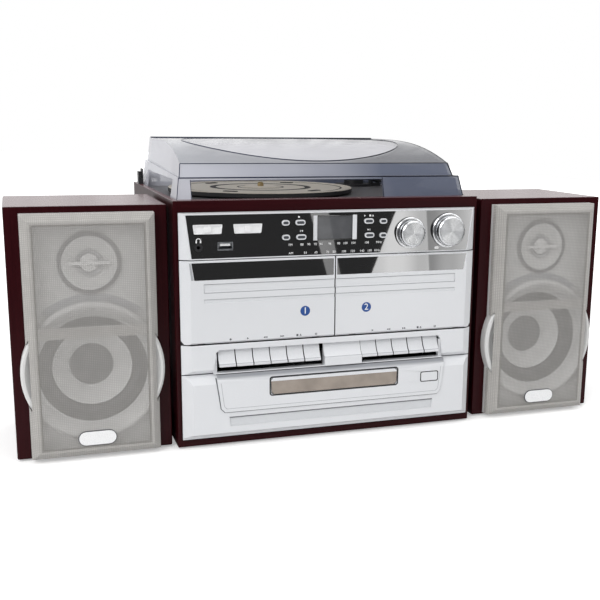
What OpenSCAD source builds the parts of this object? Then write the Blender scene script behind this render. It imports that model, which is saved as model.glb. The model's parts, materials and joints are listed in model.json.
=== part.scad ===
// Stereo music centre: turntable under a smoked dust cover, two cassette decks,
// radio controls and a disc drawer in one wood cabinet, with two bookshelf speakers.
// Lengths are in millimetres. X runs to the right, Y to the back and Z upwards.
// Places inside the main unit are measured from the middle of its front edge on the board underside.

/* [Cabinet] */
// Width of the main cabinet
cab_w = 340; // [334:1:360]
// Depth of the main cabinet
cab_d = 305; // [300:1:340]
// Height of the main cabinet without the dust cover
cab_h = 260; // [258:0.5:264]
// Thickness of the side and bottom boards
board = 9; // [8:0.5:10]
// Width of the rim left beside the turntable deck
rim_side = 6.5; // [5:0.5:8]
// Depth of the rim in front of the turntable deck
rim_front = 16; // [12:0.5:18]
// Depth of the rim behind the turntable deck
rim_back = 8; // [6:0.5:9]
// Depth of the turntable deck below the rim
deck_drop = 4; // [3:0.5:5]
// Thickness of the turntable deck plate
deck_t = 3; // [2.5:0.5:3.5]
// Thickness of the back panel
back_t = 4; // [3:0.5:6]
// Height of the rubber feet
foot_h = 2; // [1.5:0.5:4]
// Radius of a rubber foot
foot_r = 9; // [7:0.5:12]

/* [Front] */
// Distance from the cabinet's side to the moulded front
front_side = 4.5; // [3:0.5:6]
// Height of the moulded front's lower edge
front_low = 8.6; // [8:0.1:8.8]
// Height of the moulded front's upper edge
front_high = 248.3; // [247.6:0.1:250]
// Thickness of the front's mounting flange
flange_t = 3; // [2.5:0.25:3.5]
// How far the doors and controls stand out of the cabinet
face_out = 10; // [9:0.5:11]
// How far the disc section stands out of the cabinet
disc_out = 13; // [12:0.5:15]
// Width of the slanted edge along the front's sides
bevel_w = 10.2; // [8:0.2:12]
// Gap between neighbouring front parts
seam = 1.1; // [0.8:0.1:1.4]

/* [Control section] */
// Height of the control section's lower edge
control_low = 201; // [200.6:0.1:201.6]
// Width of the silver edge left round the black panel
control_rim = 1.4; // [1:0.1:2]
// Thickness of the black panel
panel_t = 2.4; // [2:0.2:3]
// Width of the display window
display_w = 49; // [44:1:54]
// Height of the display window
display_h = 26.5; // [24:0.5:29]
// Radius of the volume knob's base
volume_r = 17; // [15:0.5:18]
// Radius of the tuning knob's base
tuning_r = 19; // [17:0.5:20]
// Distance from the front's side to the tuning knob's middle
tuning_side = 35.2; // [34:0.2:37]
// Distance between the middles of the two knobs
knob_pitch = 45.3; // [42:0.1:48]
// How far the knobs stand out of the panel
knob_out = 12; // [9:0.5:15]
// Height of a small button
button_h = 5.6; // [4.5:0.2:6.5]
// Width of a narrow button
button_narrow = 8.4; // [7:0.2:9]
// Width of a wide button
button_wide = 10.8; // [9.4:0.2:11.4]
// Travel of a small button
button_travel = 0.8; // [0.5:0.1:1]
// Radius of the headphone socket's hole
jack_r = 1.8; // [1.75:0.05:1.85]
// Width of the slot over each slide switch
switch_w = 28; // [24:1:30]

/* [Cassette decks] */
// Height of the doors' lower edge
door_low = 112.9; // [112.6:0.1:113.2]
// Distance from the unit's middle to a deck's middle
deck_x = 83; // [81:0.5:85]
// Width of the cassette space
tape_w = 104; // [102.5:0.5:106]
// Height of the cassette space
tape_h = 64; // [63:0.5:65]
// Depth of the cassette space
tape_d = 12.6; // [12:0.1:13]
// Wall of the cassette holder
holder_t = 2; // [1.5:0.25:2.25]
// Radius of a door's hinge pin
door_pin_r = 1.25; // [1:0.05:1.35]

/* [Keys] */
// Pitch of the piano keys
key_pitch = 18.7; // [18.4:0.1:18.8]
// Gap between two keys
key_gap = 1; // [0.8:0.1:1.4]
// Distance from the front's side to the first key
key_side = 37.9; // [37:0.1:39]
// Width of the blank piece between the two groups of keys
blank_w = 45.9; // [45:0.1:47]
// Height of the keys' lower edge
key_low = 88; // [87.6:0.1:88.4]
// Height of the keys' upper edge
key_high = 104.7; // [104.2:0.1:105]
// Radius of the rod that the keys turn on
key_rod_r = 1.5; // [1.2:0.1:1.8]

/* [Disc section] */
// Height of the seam above the disc section
disc_high = 80; // [79.6:0.1:80.4]
// Width of the drawer's opening
drawer_w = 146; // [144:0.5:148]
// Height of the drawer's lower edge
drawer_low = 53.9; // [53.4:0.1:54.2]
// Height of the drawer's front
drawer_h = 19.2; // [18.6:0.1:19.8]
// Length of the tray behind its front
tray_d = 134; // [130:1:138]
// Radius of the recess for a disc
disc_r = 60.4; // [60.2:0.1:61]
// Travel of the open and close button
eject_travel = 1.5; // [1:0.25:2]

/* [Turntable] */
// Place of the platter's middle to the right
platter_x = -40; // [-44:1:-38]
// Place of the platter's middle to the back
platter_y = 150.6; // [146:0.2:156]
// Radius of the platter
platter_r = 109; // [104:0.5:112]
// Height of the platter's edge
platter_t = 6; // [5:0.5:7]
// Radius of the record spindle
spindle_r = 3.6; // [3.55:0.05:3.62]
// Height of the record spindle above the platter
spindle_h = 5.4; // [4.5:0.1:7]
// Radius of the platter's shaft
shaft_r = 5; // [4:0.25:6]
// Distance from the cover's side to the tonearm's pivot
arm_side = 50; // [48:1:52]
// Distance from the cover's back to the tonearm's pivot
arm_back = 36; // [34:1:38]
// How far the needle reaches past the record spindle
arm_overhang = 12; // [10:1:13]
// Radius of the tonearm's tube
arm_r = 3; // [2.5:0.25:3.5]

/* [Dust cover] */
// Gap between the cover's lower edge and the rim at each side
lid_gap = 0.5; // [0.4:0.1:2]
// Place of the cover's front lower edge
lid_front = 19; // [18.5:0.5:21]
// Place of the cover's back
lid_back = 280; // [276:0.5:281]
// Height of the cover above the deck plate
lid_h = 62.3; // [60:0.1:66]
// Wall of the cover
lid_t = 2.5; // [2:0.25:3]
// Distance from the cover's side to a hinge's middle
hinge_side = 17; // [15:0.5:20]
// Radius of a cover hinge's pin
hinge_r = 2.5; // [2:0.1:2.8]

/* [Speakers] */
// Width of a speaker
spk_w = 157; // [150:1:170]
// Height of a speaker
spk_h = 256; // [254:1:262]
// Depth of a speaker
spk_d = 136; // [125:1:160]
// Thickness of a speaker's boards
spk_board = 10; // [9:0.5:12]
// Distance of the speaker fronts behind the cabinet's front
spk_back = 11; // [8:0.5:14]
// Gap between the left speaker and the cabinet
gap_left = 4.3; // [3:0.1:12]
// Gap between the right speaker and the cabinet
gap_right = 11.2; // [3:0.1:14]
// Width of a grille
grille_w = 129; // [126:1:131]
// Height of a grille
grille_h = 247; // [245:1:248]
// Height of a grille's lower edge
grille_low = 2.5; // [2:0.25:4]
// How far a grille stands out of its speaker
grille_out = 18; // [17:0.5:22]
// Height of the woofer's middle
woofer_z = 90; // [88:0.5:92]
// Radius of the woofer's hole
woofer_r = 51; // [48:0.5:52]
// Radius of the round rim about the woofer
rim_r = 71; // [69:0.5:72]
// Height of the tweeter's middle
tweeter_z = 200; // [196:0.5:203]
// Radius of the tweeter's plate
tweeter_r = 31; // [28:0.5:32]

/* [Fits] */
// Radial clearance of a turning pin or shaft
run = 0.05; // [0.03:0.01:0.08]
// Clearance between parts that pass each other
pass = 0.4; // [0.3:0.05:0.5]

/* [Hidden] */
$fn = 64;
eps = 0.01;

// Overall placing: the whole set stands centred on the origin.
set_left = cab_w / 2 + gap_left + spk_w;
set_right = cab_w / 2 + gap_right + spk_w;
set_front = face_out + knob_out;
unit_x = (set_left - set_right) / 2;
unit_y = (set_front - cab_d) / 2;

// Levels and edges of the cabinet
in_x = cab_w / 2 - board;                 // inner face of the side boards
front_x = cab_w / 2 - front_side;         // outer edge of the moulded front
deck_z = cab_h - deck_drop;               // upper face of the turntable deck
deck_under = deck_z - deck_t;
rail_h = cab_h - front_high + 0.3;        // height of the top rails
rebate = 6;                               // how far a rail runs under the deck
back_in = 2;                              // how deep the back panel lies in its opening
back_y = cab_d - back_in - back_t;        // inner face of the back panel
foot_inset = 22;
lid_w = cab_w - 2 * (rim_side + lid_gap);
line_pos = [81 - in_x, 65];               // socket plate at the back
line_size = [108, 58];
mains_pos = [in_x - 53.5, 42];
mains_size = [43, 32];
plug_size = [18, 9];
vent_x = in_x - 101;

// Control section
control_in = 4.8;                         // width of the slanted edge at the top corners
face_y = -face_out;
panel_back = face_y + panel_t;
board_y = 12;                             // front face of the control circuit board
board_t = 1.6;
display_pos = [(front_x - 168.3) / 4, 230.4];
tuning_pos = [front_x - tuning_side, 224.2];
volume_pos = [tuning_pos[0] - knob_pitch, 222.6];
right_x = (display_pos[0] + volume_pos[0]) / 2;   // middle of the buttons beside the volume knob
knob_shaft_r = 3;
jack_pos = [18.9 - front_x, 213.5];
jack_l = 12;
usb_pos = [46.3 - front_x, 214.3];
usb_size = [13.2, 12, 5.6];
function_pos = [28.5 - front_x, 231.8];
band_pos = [function_pos[0] + switch_w + 13.6, 231.7];
switch_h = 9.6;
switch_travel = 7;
switch_stem = 2;
switch_slot = [2 * (switch_travel + switch_stem + 0.3), 2.6];
left_buttons = [[-55.3, 236.6, button_narrow], [-39.4, 236.6, button_wide],
    [-54.9, 221.5, button_narrow], [-38.4, 221.4, button_wide]];
right_buttons = [[right_x - 5.15, 236.4, button_wide], [right_x + 11.45, 236, button_narrow],
    [right_x - 4.25, 221.3, button_wide], [right_x + 11.55, 220.8, button_narrow]];
panel_buttons = concat(left_buttons, right_buttons);

// Cassette doors
door_high = control_low - seam;
door_gap = 0.6;                           // half of the gap between the two doors
door_back = -flange_t - 0.2;
door_pivot = [-5.6, door_low + 5.5];      // height and depth of the door hinges
door_ear_r = 2.5;
door_ear_w = 4;
door_ear_x = 62;                          // hinge distance from the deck's middle
tape_low = door_low + 9.6;
tape_back = door_back + 0.6 + tape_d;
well_w = tape_w + 2 * holder_t + 4;
well_low = door_low + 6.4;
well_high = tape_low + tape_h + 5.5;
well_back = 15;

// Keys and disc section
key_axis = [30, 98];
keys_a_n = 6;
keys_b_n = 5;
keys_a_x = key_side - front_x;
keys_a_end = keys_a_x + keys_a_n * key_pitch - key_gap;
keys_b_x = keys_a_end + blank_w + 1.6;
keys_b_end = keys_b_x + keys_b_n * key_pitch - key_gap;
key_trim = 5.4;                           // width of the recess beside the keys
key_slot_low = 81.4;
key_window_high = key_high + 1;
key_top = door_low - seam;
blank = [keys_a_end + 4.6, keys_b_x - 0.4];
eject_pos = [front_x - 53.5, 60.2];
eject_size = [20, 10];
field_top = front_x - 34.9;               // half of the raised field's width
groove_x = front_x - 48;                  // half of the finger groove's width
door_groove_x = front_x - 23.7;
drawer_gap = 0.7;
tray_low = drawer_low + 2.2;
tray_t = 7.4;
recess_h = 4.6;
window_h = 15;
tray_w = 134;
hub_y = 50;
rail_t = 6;
mech_floor = 46;
bridge_t = 3;
works_x = in_x - 11;                      // half of the width used by the circuit boards
main_board_d = 115;
transformer_size = [70, 50, 48];

// Turntable
platter_under = deck_z + 1.2;
platter_top = platter_under + platter_t;
bearing_r = 11;
bearing_h = 26;
motor_pos = [platter_x - 62, platter_y + 62];
motor_r = 16;
motor_h = 28;
arm_x = lid_w / 2 - arm_side;
arm_y = lid_back - arm_back;
arm_l = norm([arm_x - platter_x, arm_y - platter_y]) + arm_overhang;
arm_z = platter_top + 12;
tower_r = 24;
tower_h = 3;
rest_pos = [arm_x, arm_y - arm_l + 46];
rest_h = arm_z - arm_r - 0.3 - deck_z;
lever_pos = [arm_x + 27, arm_y - 6];
lever_z = deck_z + 8;
lever_l = 26;
speed_pos = [lid_w / 2 - 25, 66];
speed_travel = 12;

// Dust cover: outline heights above the deck plate
lid_ledge = 25;
lid_rise = 8.5;                           // how much the ledge climbs to the back
lid_fold = lid_h - 23.7;
lid_fold_y = 46;
lid_crest_y = 235;
hinge_x = lid_w / 2 - hinge_side;
hinge_y = lid_back + 9;
hinge_z = deck_z + 12;
hinge_lug_w = 8;
hinge_cheek = 3;

// Speakers
spk_x = [-(cab_w / 2 + gap_left + spk_w / 2), cab_w / 2 + gap_right + spk_w / 2];
baffle_t = 4;
baffle_y = spk_back - baffle_t;
grille_front = spk_back - grille_out;
magnet_r = 34;
magnet_back = 58;
tweeter_back = 24;
post_size = [48, 36];
bar_z = [126.7, 137.6];

// --- Shared shapes ---------------------------------------------------------

// Carries a piece of the main unit to its place in the whole set.
module at_unit() {
    translate([unit_x, unit_y, foot_h]) children();
}

// A box between two opposite corners.
module span(low, high) {
    translate(low) cube(high - low);
}

// An upright outline (x, z) made into a plate that runs from y1 to y2.
module plate(y1, y2) {
    translate([0, y2, 0]) rotate([90, 0, 0]) linear_extrude(y2 - y1) children();
}

// A side outline (y, z) made into a bar that runs from x1 to x2.
module bar(x1, x2) {
    translate([x1, 0, 0]) rotate([90, 0, 90]) linear_extrude(x2 - x1) children();
}

// A round rod along Y.
module rod_y(r, x, z, y1, y2) {
    translate([x, y2, z]) rotate([90, 0, 0]) cylinder(r = r, h = y2 - y1);
}

// A round rod along X.
module rod_x(r, y, z, x1, x2) {
    translate([x1, y, z]) rotate([0, 90, 0]) cylinder(r = r, h = x2 - x1);
}

// A flat outline with round ends, w long and h high.
module pill(w, h) {
    square([w - h, h], center = true);
    for (side = [-1, 1]) translate([side * (w - h) / 2, 0]) circle(d = h);
}

// A rectangle with round corners, centred.
module round_rect(w, h, r) {
    square([w - 2 * r, h], center = true);
    square([w, h - 2 * r], center = true);
    for (x = [-1, 1], z = [-1, 1]) translate([x * (w / 2 - r), z * (h / 2 - r)]) circle(r = r);
}

// --- Cabinet ---------------------------------------------------------------

module cabinet_shell() {
    color("#3a1418") at_unit() {
        difference() {
            union() {
                for (side = [-1, 1])
                    translate([side * (in_x + board / 2) - board / 2, 0, 0])
                        cube([board, cab_d, cab_h]);
                span([-in_x, 0, 0], [in_x, cab_d, board]);
                span([-in_x, 0, cab_h - rail_h], [in_x, rim_front + rebate, cab_h]);
                span([-in_x, cab_d - rim_back - rebate, cab_h - rail_h - 3], [in_x, cab_d, cab_h]);
            }
            span([-cab_w / 2 + rim_side, rim_front, deck_under],
                [cab_w / 2 - rim_side, cab_d - rim_back, cab_h + 1]);
            span([-in_x - 3, back_y, board - 3], [in_x + 3, cab_d + 1, cab_h - rail_h - 3]);
        }
    }
}

// Pressed board at the back, with vents and an opening for the sockets.
module back_panel() {
    vents = 9;
    color("#2b2b2d") at_unit() difference() {
        span([-in_x - 2.7, back_y, board - 2.7], [in_x + 2.7, back_y + back_t, cab_h - rail_h - 3.3]);
        for (i = [0 : vents - 1])
            span([vent_x, back_y - 1, 110 + i * 9], [vent_x + 60, back_y + back_t + 1, 114 + i * 9]);
        plate(back_y - 1, back_y + back_t + 1) {
            translate(line_pos) square(line_size - [8, 8], center = true);
            translate(mains_pos) square(mains_size - [8, 8], center = true);
        }
    }
}

// Socket plates at the back of the main unit, and the terminals of the two speakers.
module rear_sockets() {
    plate_y = back_y + back_t;
    inside = [8.6, 8.6];
    color("#1c1c1e") {
        at_unit() {
            translate([line_pos[0], 0, line_pos[1]]) difference() {
                union() {
                    plate(plate_y, plate_y + 1.5) square(line_size, center = true);
                    plate(back_y - 14, plate_y) square(line_size - inside, center = true);
                    for (x = [-35, -15], z = [-13, 11]) rod_y(4.6, x, z, plate_y, cab_d);
                }
                for (x = [-35, -15], z = [-13, 11]) rod_y(1.6, x, z, plate_y - 9, cab_d + 1);
                for (i = [0 : 3]) span([5 + i * 12, plate_y - 8, -9], [11 + i * 12, cab_d, 7]);
            }
            translate([mains_pos[0], 0, mains_pos[1]]) difference() {
                union() {
                    plate(plate_y, plate_y + 1.5) square(mains_size, center = true);
                    plate(back_y - 20, plate_y) square(mains_size - inside, center = true);
                }
                plate(plate_y - 16, cab_d + 1) pill(plug_size[0], plug_size[1]);
            }
        }
        for (side = [0, 1]) at_unit() translate([spk_x[side], spk_back + spk_d, 70]) difference() {
            plate(-7, 0) square(post_size, center = true);
            for (x = [-10, 10]) span([x - 4, -5, -7], [x + 4, 1, 7]);
        }
    }
}

module rubber_feet() {
    color("#161616") translate([unit_x, unit_y, 0]) {
        for (x = [-1, 1], y = [foot_inset, cab_d - foot_inset])
            translate([x * (cab_w / 2 - foot_inset), y, 0]) cylinder(r = foot_r, h = foot_h);
        for (side = [0, 1], x = [-1, 1], y = [foot_inset, spk_d - foot_inset])
            translate([spk_x[side] + x * (spk_w / 2 - foot_inset), spk_back + y, 0])
                cylinder(r = foot_r, h = foot_h);
    }
}

// --- Moulded front ---------------------------------------------------------

// Outline of the control section's flat face.
module control_outline(inset) {
    top = front_x - control_in - inset;
    low = front_x - bevel_w - inset;
    polygon([[-top, front_high - 0.6 - inset], [top, front_high - 0.6 - inset],
        [low, control_low + inset * 0.8], [-low, control_low + inset * 0.8]]);
}

// Silver frame: flange, control section edge, cassette wells and boss pegs.
module front_frame() {
    color("#d8d9db") at_unit() difference() {
        union() {
            span([-front_x, -flange_t, front_low], [front_x, 0, front_high]);
            hull() {
                span([-front_x, -flange_t - eps, control_low], [front_x, -flange_t, front_high]);
                plate(face_y, face_y + 0.02) control_outline(0);
            }
            for (side = [-1, 1]) {
                translate([side * deck_x, 0, 0]) {
                    plate(-flange_t, well_back) translate([0, (well_low + well_high) / 2])
                        square([well_w + 4, well_high - well_low + 4], center = true);
                    for (x = [-1, 1])
                        translate([x * door_ear_x, 0, 0]) door_ear();
                }
            }
            for (x = [-works_x, -works_x / 2, works_x / 2, works_x]) rod_y(3, x, control_low + 6, -1, board_y);
        }
        // pocket and clearance behind the black panel
        plate(face_y - 1, panel_back) control_outline(control_rim);
        plate(panel_back - eps, 1) control_outline(control_rim + 4);
        for (side = [-1, 1]) {
            translate([side * deck_x, 0, 0]) {
                span([-well_w / 2, -flange_t - 1, well_low], [well_w / 2, well_back + 1, well_high]);
                for (x = [-1, 1]) rod_x(door_pin_r + run, door_pivot[0], door_pivot[1],
                    x * door_ear_x - door_ear_w, x * door_ear_x + door_ear_w);
            }
        }
        // windows for the keys, the drawer and its button
        span([keys_a_x - 1.4, -flange_t - 1, key_slot_low], [blank[0], 1, key_window_high + 1]);
        span([keys_b_x - 1.4, -flange_t - 1, key_slot_low], [keys_b_end + 1.6, 1, key_window_high + 1]);
        span([-drawer_w / 2 - 2, -flange_t - 1, drawer_low - 2],
            [drawer_w / 2 + 2, 1, drawer_low + drawer_h + 2]);
        plate(-flange_t - 1, 1) translate(eject_pos) square([eject_size[0] + 2, eject_size[1] + 2], center = true);
    }
}

// Hinge ear that reaches into a pocket at the back of a door.
module door_ear() {
    rod_x(door_ear_r, door_pivot[0], door_pivot[1], -door_ear_w / 2, door_ear_w / 2);
    span([-door_ear_w / 2, door_pivot[0], door_pivot[1] - door_ear_r],
        [door_ear_w / 2, -flange_t + eps, door_pivot[1] + door_ear_r]);
}

// Black mirror-gloss panel with its holes.
module control_panel() {
    color("#0b0b0c") at_unit() difference() {
        union() {
            plate(face_y, panel_back - 0.02) control_outline(control_rim + 0.1);
            plate(panel_back - 0.03, panel_back + 2) control_outline(control_rim + 6);
        }
        plate(face_y - 1, 0) {
            translate(display_pos) square([display_w, display_h], center = true);
            translate(volume_pos) circle(r = knob_shaft_r + run);
            translate(tuning_pos) circle(r = knob_shaft_r + run);
            translate(jack_pos) circle(r = 4.4);
            translate(usb_pos) square([usb_size[0] + 3.2, usb_size[2] + 3.2], center = true);
            for (b = panel_buttons) translate([b[0], b[1]])
                pill(b[2] + 2 * pass, button_h + 2 * pass);
            for (s = [function_pos, band_pos]) translate(s) square(switch_slot, center = true);
        }
        // shallow white recess of each slide switch
        for (s = [function_pos, band_pos])
            plate(face_y - 1, face_y + 1.2) translate(s)
                polygon([[-switch_w / 2 - 1.2, switch_h / 2], [switch_w / 2 + 1.2, switch_h / 2],
                    [switch_w / 2, -switch_h / 2], [-switch_w / 2, -switch_h / 2]]);
    }
}

// Clear window of the display, with its glass module behind.
module display_window() {
    module_size = [display_w - 10, display_h - 7];
    color("#6f747a") at_unit() translate([display_pos[0], 0, display_pos[1]]) {
        difference() {
            plate(face_y + 0.2, panel_back) square([display_w - 0.2, display_h - 0.2], center = true);
            plate(face_y - 1, face_y + 1.4) translate([-0.3, 0])
                square([display_w - 9.8, display_h - 2.4], center = true);
        }
        plate(panel_back - 0.1, board_y) square(module_size, center = true);
    }
}

// Headphone socket and USB socket.
module front_sockets() {
    color("#8d9094") at_unit() {
        difference() {
            union() {
                rod_y(4.3, jack_pos[0], jack_pos[1], face_y, panel_back + 1);
                rod_y(3.4, jack_pos[0], jack_pos[1], panel_back, board_y);
            }
            rod_y(jack_r, jack_pos[0], jack_pos[1], face_y - 1, face_y + jack_l);
        }
        translate([usb_pos[0], 0, usb_pos[1]]) difference() {
            union() {
                span([-usb_size[0] / 2 - 1.5, face_y - 0.6, -usb_size[2] / 2 - 1.5],
                    [usb_size[0] / 2 + 1.5, panel_back, usb_size[2] / 2 + 1.5]);
                span([-usb_size[0] / 2 - 0.8, panel_back - 1, -usb_size[2] / 2 - 0.8],
                    [usb_size[0] / 2 + 0.8, board_y, usb_size[2] / 2 + 0.8]);
            }
            span([-usb_size[0] / 2, face_y - 2, -usb_size[2] / 2],
                [usb_size[0] / 2, face_y + usb_size[1], usb_size[2] / 2]);
        }
    }
}

// Block with slanted edges: a side outline crossed with a plan outline.
module beveled(side_outline, out) {
    intersection() {
        bar(-front_x - 1, front_x + 1) polygon(side_outline);
        linear_extrude(front_high) polygon([[-front_x, -flange_t], [-front_x, -flange_t - 0.6],
            [-front_x + bevel_w, -out], [front_x - bevel_w, -out],
            [front_x, -flange_t - 0.6], [front_x, -flange_t]]);
    }
}

// Side outline of a piano key's visible front, from y to z.
module key_face_outline(low) {
    polygon([[-flange_t + 5, key_high], [-5.4, key_high], [-6.6, 101], [-8.4, 96.6], [-11, 92.6],
        [-13.2, 90.9], [-13.6, 90.3], [-13.6, low], [-flange_t + 5, low]]);
}

// Silver panel about the keys, with the blank piece between the two groups.
module key_panel() {
    color("#e0e0e2") at_unit() {
        difference() {
            beveled([[-flange_t, disc_high + 0.3], [-flange_t - 1.6, disc_high + 0.3],
                [-face_out, disc_high + 5], [-face_out, key_top - 0.8],
                [-face_out + 0.8, key_top], [-flange_t, key_top]], face_out);
            plate(-disc_out, 0) polygon([[keys_a_x - 2.4, key_window_high - 3],
                [keys_a_x + 0.6, key_window_high], [keys_b_end - 0.4, key_window_high],
                [keys_b_end + 3, key_window_high - 4], [keys_b_end + key_trim, disc_high - 1],
                [keys_a_x - key_trim, disc_high - 1]]);
        }
        difference() {
            union() {
                bar(blank[0], blank[1]) key_face_outline(key_slot_low);
                span([keys_a_x - key_trim, -disc_out + 2, disc_high + 0.3],
                    [keys_b_end + key_trim, -flange_t, key_slot_low]);
                for (x = [keys_a_x - key_trim, keys_b_end + key_trim - 4])
                    span([x, -face_out + 2, disc_high + 0.3], [x + 4, -flange_t, key_high - 4]);
            }
            span([blank[0] - 1, -flange_t, key_slot_low - 5], [blank[1] + 1, 3, key_high + 5]);
        }
    }
}

// Silver panel of the disc section with the raised middle field.
module disc_panel() {
    field = [[-field_top, disc_high - 0.6], [4.6 - field_top, 43], [8.6 - field_top, 39],
        [field_top - 8.6, 39], [field_top - 4.6, 43], [field_top, disc_high - 0.6]];
    color("#e6e6e8") at_unit() difference() {
        union() {
            beveled([[-flange_t, front_low + 0.2], [-flange_t - 0.6, front_low + 2.6],
                [-disc_out, front_low + 7.4], [-disc_out, disc_high - 10],
                [-face_out + 1, disc_high - 4], [-flange_t - 1.6, disc_high - 0.5],
                [-flange_t, disc_high - 0.5]], disc_out);
            intersection() {
                plate(-disc_out - 1.4, -flange_t) polygon(field);
                bar(-front_x, front_x) polygon([[-flange_t, 38], [-disc_out - 1.4, 38], [-disc_out - 1.4, 71],
                    [-disc_out - 0.6, 75], [-disc_out + 2, disc_high - 0.5], [-flange_t, disc_high - 0.5]]);
            }
        }
        plate(-disc_out - 2, 1) translate([0, drawer_low + drawer_h / 2])
            polygon(drawer_outline(0));
        plate(-disc_out - 2, 1) translate(eject_pos) round_rect(eject_size[0] + 2 * pass, eject_size[1] + 2 * pass, 2);
        // long finger groove under the field
        plate(-disc_out - 2, -disc_out + 1.2) polygon([[-groove_x, 33.3],
            [groove_x, 33.3], [groove_x - 1.4, 23], [1.4 - groove_x, 23]]);
    }
}

// Outline of the drawer's front about its middle, a little narrower below.
function drawer_outline(inset) = let (w = drawer_w / 2 - inset, h = drawer_h / 2 - inset, c = 2.4)
    [[-w, h - c], [-w + c, h], [w - c, h], [w, h - c], [w - 0.5, -h + c], [w - 0.5 - c, -h],
        [-w + 0.9 + c, -h], [-w + 0.9, -h + c]];

// --- Works behind the front ------------------------------------------------

// Chassis of one cassette deck: plate, spindles, head, motor and flywheel.
module cassette_chassis(x, key_left, key_right) {
    plate_back = well_back + 1.6;
    rod_z = key_axis[1];
    translate([x, 0, 0]) {
        difference() {
            span([-well_w / 2 - 2, well_back, key_high + 4], [well_w / 2 + 2, plate_back, well_high + 2]);
            rod_y(6, -30, tape_low + 12, well_back - 1, plate_back + 1);
        }
        for (side = [-1, 1]) rod_y(3.2, side * 21.3, tape_low + 34, tape_back + 0.4, well_back + 1);
        rod_y(1.2, 12, tape_low + 8, tape_back + 0.6, well_back + 1);
        span([-9, tape_back + 0.4, well_low + 1], [9, well_back + 1, tape_low + 9]);
        rod_y(17, 16, tape_low + 8, plate_back - 0.5, plate_back + 6);
        rod_y(16, -36, tape_low + 44, plate_back - 0.5, plate_back + 30);
    }
    for (edge = [key_left - 5, key_right + 2])
        span([edge, well_back, rod_z - 4], [edge + 3, key_axis[0] + 6, key_high + 8]);
    span([key_left - 5, well_back, key_high + 4], [key_right + 5, plate_back, key_high + 10]);
    rod_x(key_rod_r, key_axis[0], rod_z, key_left - 4, key_right + 4);
}

module cassette_mechanisms() {
    color("#9a9da1") at_unit() {
        cassette_chassis(-deck_x, keys_a_x, keys_a_end);
        cassette_chassis(deck_x, keys_b_x, keys_b_end);
    }
}

// Disc player works: floor, rails, turntable hub, laser sledge and clamp bridge.
module disc_mechanism() {
    rail_in = tray_w / 2 + pass;
    far = tray_d - disc_out + 21;
    rail_z = drawer_low + 24;
    color("#3c3f44") at_unit() {
        span([-rail_in - rail_t, 2, mech_floor], [rail_in + rail_t, far, mech_floor + 2]);
        for (side = [-1, 1]) {
            span([side > 0 ? rail_in : -rail_in - rail_t, 2, mech_floor],
                [side > 0 ? rail_in + rail_t : -rail_in, far, rail_z]);
            span([side > 0 ? rail_in - 8 : -rail_in, 2, mech_floor],
                [side > 0 ? rail_in : -rail_in + 8, far - 12, tray_low - 0.3]);
            for (y = [8, far - 12]) translate([side * (rail_in + rail_t - 5), y, board])
                cylinder(r = 5, h = mech_floor - board + 1);
        }
        span([-rail_in - rail_t, hub_y - 14, rail_z - bridge_t], [rail_in + rail_t, hub_y + 16, rail_z]);
        translate([0, hub_y, rail_z - bridge_t - 6]) cylinder(r = 15, h = 7);
        translate([0, hub_y, mech_floor + 1]) cylinder(r = 12, h = 6);
        span([-14, hub_y + 20, mech_floor + 1], [14, hub_y + 46, mech_floor + 7]);
    }
}

// Main amplifier board on pegs, and the control board behind the black panel.
module circuit_boards() {
    peg = 8;
    back = back_y - 14;
    size = [works_x - 20, main_board_d];
    color("#2f5d3a") at_unit() {
        translate([-works_x, back - size[1], board]) {
            translate([0, 0, peg]) cube([size[0], size[1], board_t]);
            for (x = [6, size[0] - 6], y = [6, size[1] - 6]) translate([x, y, 0]) cylinder(r = 3, h = peg + 0.5);
            for (i = [0 : 3]) translate([20 + i * 26, 30, peg]) cylinder(r = 8, h = 26);
            translate([10, size[1] - 45, peg]) cube([80, 12, 42]);
        }
        difference() {
            union() {
                span([-works_x - 5, board_y, control_low + 2], [works_x + 5, board_y + board_t, front_high - 3]);
                for (b = panel_buttons)
                    span([b[0] - 3, board_y - 3.4, b[1] - 2.6], [b[0] + 3, board_y + 1, b[1] + 2.6]);
                for (k = [volume_pos, tuning_pos]) rod_y(8.5, k[0], k[1], board_y - 8, board_y + 1);
                for (s = [function_pos, band_pos])
                    span([s[0] - 12, board_y - 5, s[1] - 4], [s[0] + 12, board_y + 1, s[1] + 4]);
            }
            for (k = [volume_pos, tuning_pos]) rod_y(knob_shaft_r + run, k[0], k[1], board_y - 9, board_y - 1);
            for (s = [function_pos, band_pos])
                span([s[0] - switch_slot[0] / 2, board_y - 6, s[1] - 1.6],
                    [s[0] + switch_slot[0] / 2, board_y - 2, s[1] + 1.6]);
        }
    }
}

// Transformer on its foot plate, on the bottom board.
module power_transformer() {
    w = transformer_size[0];
    d = transformer_size[1];
    h = transformer_size[2];
    color("#4a4a4c") at_unit() translate([in_x - 21 - w, back_y - 49 - d, board]) {
        cube([w, d, 3]);
        translate([8, 3, 0]) cube([w - 16, d - 6, h]);
        translate([18, -10, 8]) cube([w - 36, d + 20, h - 16]);
    }
}

// --- Turntable -------------------------------------------------------------

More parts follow.
